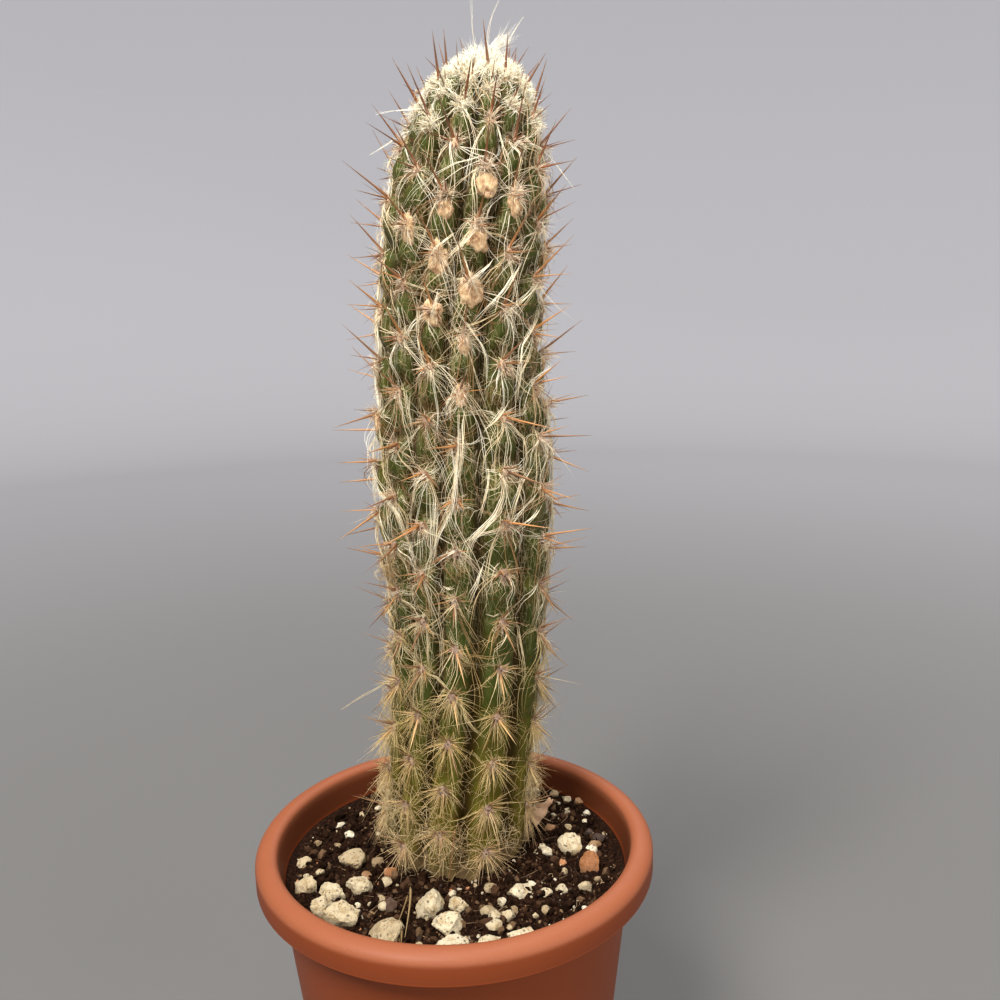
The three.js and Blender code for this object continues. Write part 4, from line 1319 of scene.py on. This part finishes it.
def makeLocks():
    h = hairSet
    steps = h["lockSteps"]
    locks = Bunch(steps)
    for thick, *route in lockRoutes + [wildRoute(seed) for seed in range(h["moreLocks"])]:
        line = eased(np.reshape(route, (-1, 2)) / (h["perMm"], 1), steps * 3)
        for _ in range(2 + int(thick * h["lockHairs"])):
            first, last = spread(0, 0.3), spread(0.7, 1)
            part = np.linspace(first, last, steps) * (len(line) - 1)
            angle, level = (np.interp(part, np.arange(len(line)), column) for column in line.T)
            fan = 0.9 + 0.9 * locks.share ** 2
            sway = np.sin(tau * (spread(0.5, 1.2) * locks.share + rng.random())) * 0.35
            angle = np.radians(angle * h["perMm"]) + (jitter() * thick * 0.6 * fan + sway) / 34
            way = wayTo(level + jitter() * thick * 0.35)
            lift = h["lockLift"] * (0.6 + 0.5 * np.sin(pi * locks.share) + 0.2 * jitter())
            lift *= 0.3 + 0.7 * np.abs(np.cos(angle))
            locks.addMany([onStem(way, angle, lift)], [outward(way, angle)],
                          [h["lockRadius"] * spread(0.7, 1.35)], [spread(0.45, 1)], 0.4)
    for route in freeHairs:
        points = np.reshape(route, (-1, 3))
        for _ in range(3):
            line = eased(points + jitter(points.shape) * 0.25, steps)
            locks.addMany([line], [np.tile((0, -1, 0.1), (steps, 1))], [h["lockRadius"] * 0.8], [1])
    locks.make("hairLocks", hairFinish())


def makeMats():
    h = hairSet
    steps = h["matSteps"]
    matted = Bunch(steps)
    for degrees, level, wide, tall, count, tint in mats:
        way = np.clip(level + jitter(count) * tall / 4, 2, 300)
        angle = radians(degrees) + jitter(count) * wide / 4 / 32
        paths, refs = roam(way, angle, spread(0, tau, count), spread(*h["matLength"], count),
                           spread(*h["matLift"], count), steps, wave=0.7, droop=0.5, sink=0.4)
        paths[:, :, 2] = np.maximum(paths[:, :, 2], soilLevel + 0.5)
        matted.addMany(paths, refs, spread(*h["matRadius"], count), tint + spread(0, 0.5, count))
    matted.addMany([eased(fallenHair, steps)], [np.tile((1, 0, 0.1), (steps, 1))], [h["fallenRadius"]], [0])
    matted.make("mattedHair", tinted("mattedHair", 0.8, (0, 0.27, 0.13, 0.06), (0.25, 0.42, 0.28, 0.13),
                                     (0.6, 0.64, 0.49, 0.27), (1, 0.8, 0.68, 0.44)))


def hairFinish():
    f = Finish("whiteHair", 0.2)
    f.colour = f.ramp(f.mark("tint"), (0, 0.15, 0.068, 0.026), (0.22, 0.36, 0.2, 0.09),
                      (0.4, 0.78, 0.62, 0.37), (0.7, 0.98, 0.9, 0.68), (1, 1, 0.97, 0.83))
    f.stain(f.grain(7, 2), 0.52, 0.75, 0.5, (0.74, 0.48, 0.3))
    f.stain(f.height(soilLevel), 160, 70, 0.75, (0.56, 0.42, 0.17))
    return f.done()


# Wool on the growing tip, and yellower wool on the shoulders round it

woolSet = dict(
    reach=13.8, hairs=1100, length=(4, 9), lift=(0.8, 4.6), radius=0.12, steps=6,
    tuft=150, tuftReach=4.4, tuftLength=(3, 7.5), lockLength=(6, 9.4),
    shoulderLevel=310, shoulderDip=14,  # the shoulders reach lower at the sides
    shoulderHairs=62,  # to an areole
    shoulderLength=(3.5, 8), shoulderLift=(0.6, 4.6),
)


def makeWool():
    w = woolSet
    wool = Bunch(w["steps"])
    count = w["hairs"]
    reach = w["reach"] * np.sqrt(rng.random(count))
    edge = np.interp(-reach, -crownWide * np.cos(crownTurns), crownArc) + crownStart
    lift = spread(*w["lift"], count) * (1 - 0.5 * (reach / w["reach"]) ** 2)
    paths, refs = roam(edge, spread(0, tau, count), spread(0, tau, count), spread(*w["length"], count), lift,
                       w["steps"], wave=1.6)
    wool.addMany(paths + (0, 0, 0.3), refs, w["radius"] * spread(0.7, 1.3, count), spread(0.5, 1, count))
    tip = onStem(stemLength, 0, 0)
    for k in range(w["tuft"]):
        turn = spread(0, tau)
        foot = tip + np.array([cos(turn), sin(turn), 0]) * w["tuftReach"] * sqrt(rng.random()) - (0.8, 0, 1.2)
        push = np.array([0.3 * jitter(), 0.4 * jitter(), 1.0]) * spread(*w["tuftLength"])
        if k % 3 == 0:  # a lock that leans right
            foot = tip + (1.8, -1.5, 1.2) + jitter(3) * 0.7
            push = np.array([1.1, 0, 0.84]) * spread(*w["lockLength"]) + jitter(3) * 0.4
        wool.add(foot, push, jitter(3) * 1.6, w["radius"], (0, -1, 0.2), spread(0.7, 1))
    wool.make("tipWool", tinted("tipWool", 0.7, (0, 0.86, 0.78, 0.56), (0.6, 0.97, 0.94, 0.78),
                                (1, 1, 0.99, 0.92)), replaced="crown_wool")


def makeShoulders():
    w = woolSet
    wool = Bunch(w["steps"])
    chosen = [a for a in areoles if a.level > w["shoulderLevel"] - w["shoulderDip"] * abs(sin(a.angle))]
    way, angle, _ = hairStarts(chosen, w["shoulderHairs"], 1.4)
    count = len(way)
    paths, refs = roam(way, angle, spread(0, tau, count), spread(*w["shoulderLength"], count),
                       spread(*w["shoulderLift"], count), w["steps"], wave=1.5, droop=0.2, sink=0.5)
    wool.addMany(paths, refs, w["radius"] * spread(0.7, 1.3, count), rng.random(count))
    wool.make("shoulderWool", tinted("shoulderWool", 0.7, (0, 0.92, 0.88, 0.64), (0.5, 0.98, 0.95, 0.75),
                                     (1, 1, 1, 0.9)))


# Floor, backdrop and light, in metres

# the floor's near and far colours and its glow are painted light and shade
studioSet = dict(
    floorRadius=1.7, sweep=0.9, wallTop=2, rings=24, near=(0.14, 0.14, 0.144), far=(0.485, 0.49, 0.54),
    glow=0.3, worldColour=(1, 0.945, 0.86), worldStrength=0.2, aim=(0, 0, 0.25),
)
# name, place, size, power and colour
lights = [
    ("keyLight", (-0.64, -0.94, 1.66), 0.6, 51, (1.0, 0.955, 0.875)),
    ("topLight", (0.15, 0.1, 1.9), 0.8, 22, (1.0, 0.98, 0.95)),
    ("fillLight", (1.3, -0.9, 0.9), 1.0, 11, (1.0, 0.95, 0.88)),
    ("frontLight", (0.1, -1.6, 0.8), 0.8, 7, (1.0, 0.95, 0.88)),
    ("rimLight", (0.6, 1.3, 1.4), 0.9, 8, (1.0, 0.97, 0.92)),
]


def studioFinish():
    s = studioSet
    f = Finish("paleFloor", 0.15, 0.85)
    away = f.length(f.place)
    # painted light and shade: the floor is darker near the pot and paler far off, and the far floor and
    # backdrop glow, standing in for how the light falls
    f.colour = f.blend(f.band(away, 0.2, 2.4), s["near"], s["far"])
    glow = f.blend(f.band(away, 0.5, 2.6), (0, 0, 0), s["far"])
    f.fill(f.inputs, {"Emission Color": glow, "Emission Strength": s["glow"]})
    return f.done()


def makeStudio():
    s = studioSet
    bpy.ops.mesh.primitive_circle_add(vertices=96, radius=s["floorRadius"], fill_type="NGON")
    floor = made("studioFloor")
    bpy.ops.mesh.primitive_circle_add(vertices=96, radius=s["floorRadius"], fill_type="NOTHING")
    wall = made("studioBackdrop")
    editWhole(wall)
    turns = np.linspace(0, 1, s["rings"] + 1) ** 1.6 * pi / 2
    radii = s["floorRadius"] + s["sweep"] * np.sin(turns)
    heights = -s["sweep"] * np.cos(turns)
    for rise, growth in zip(np.diff(heights), radii[1:] / radii[:-1]):
        bpy.ops.mesh.extrude_region_move(TRANSFORM_OT_translate={"value": (0, 0, rise)})
        bpy.ops.transform.resize(value=(growth, growth, 1))
    bpy.ops.mesh.extrude_region_move(TRANSFORM_OT_translate={"value": (0, 0, s["wallTop"])})
    leaveEdit()
    shade(wall)
    finish = studioFinish()
    for piece in (floor, wall):
        piece.data.materials.append(finish.material)
    wall.visible_diffuse = False
    wall.visible_glossy = False
    wall.visible_shadow = False
    world = bpy.data.worlds.new("studio")
    world.use_nodes = True
    background = world.node_tree.nodes["Background"]
    background.inputs[0].default_value = (*s["worldColour"], 1)
    background.inputs[1].default_value = s["worldStrength"]
    bpy.context.scene.world = world
    for name, place, size, power, colour in lights:
        bpy.ops.object.light_add(type="AREA", location=place)
        light = made(name)
        light.rotation_euler = (Vector(s["aim"]) - Vector(place)).to_track_quat("-Z", "Y").to_euler()
        light.data.size = size
        light.data.energy = power
        light.data.color = colour
    bpy.context.scene.view_settings.view_transform = "Standard"
    print("studio ready")


makeCamera()
makePot()
makeSoil()
makeGravel()
makeLitter()
makeFlake()
makeSkin()
makeSpines()
makeRadials()
makeFelt()
makeHair("longHairs", longHair)
makeHair("fineHairs", fineHair, lowHair)
makeLocks()
makeMats()
makeWool()
makeShoulders()
makeHair("crossingHairs", crossingHair)
makeStudio()
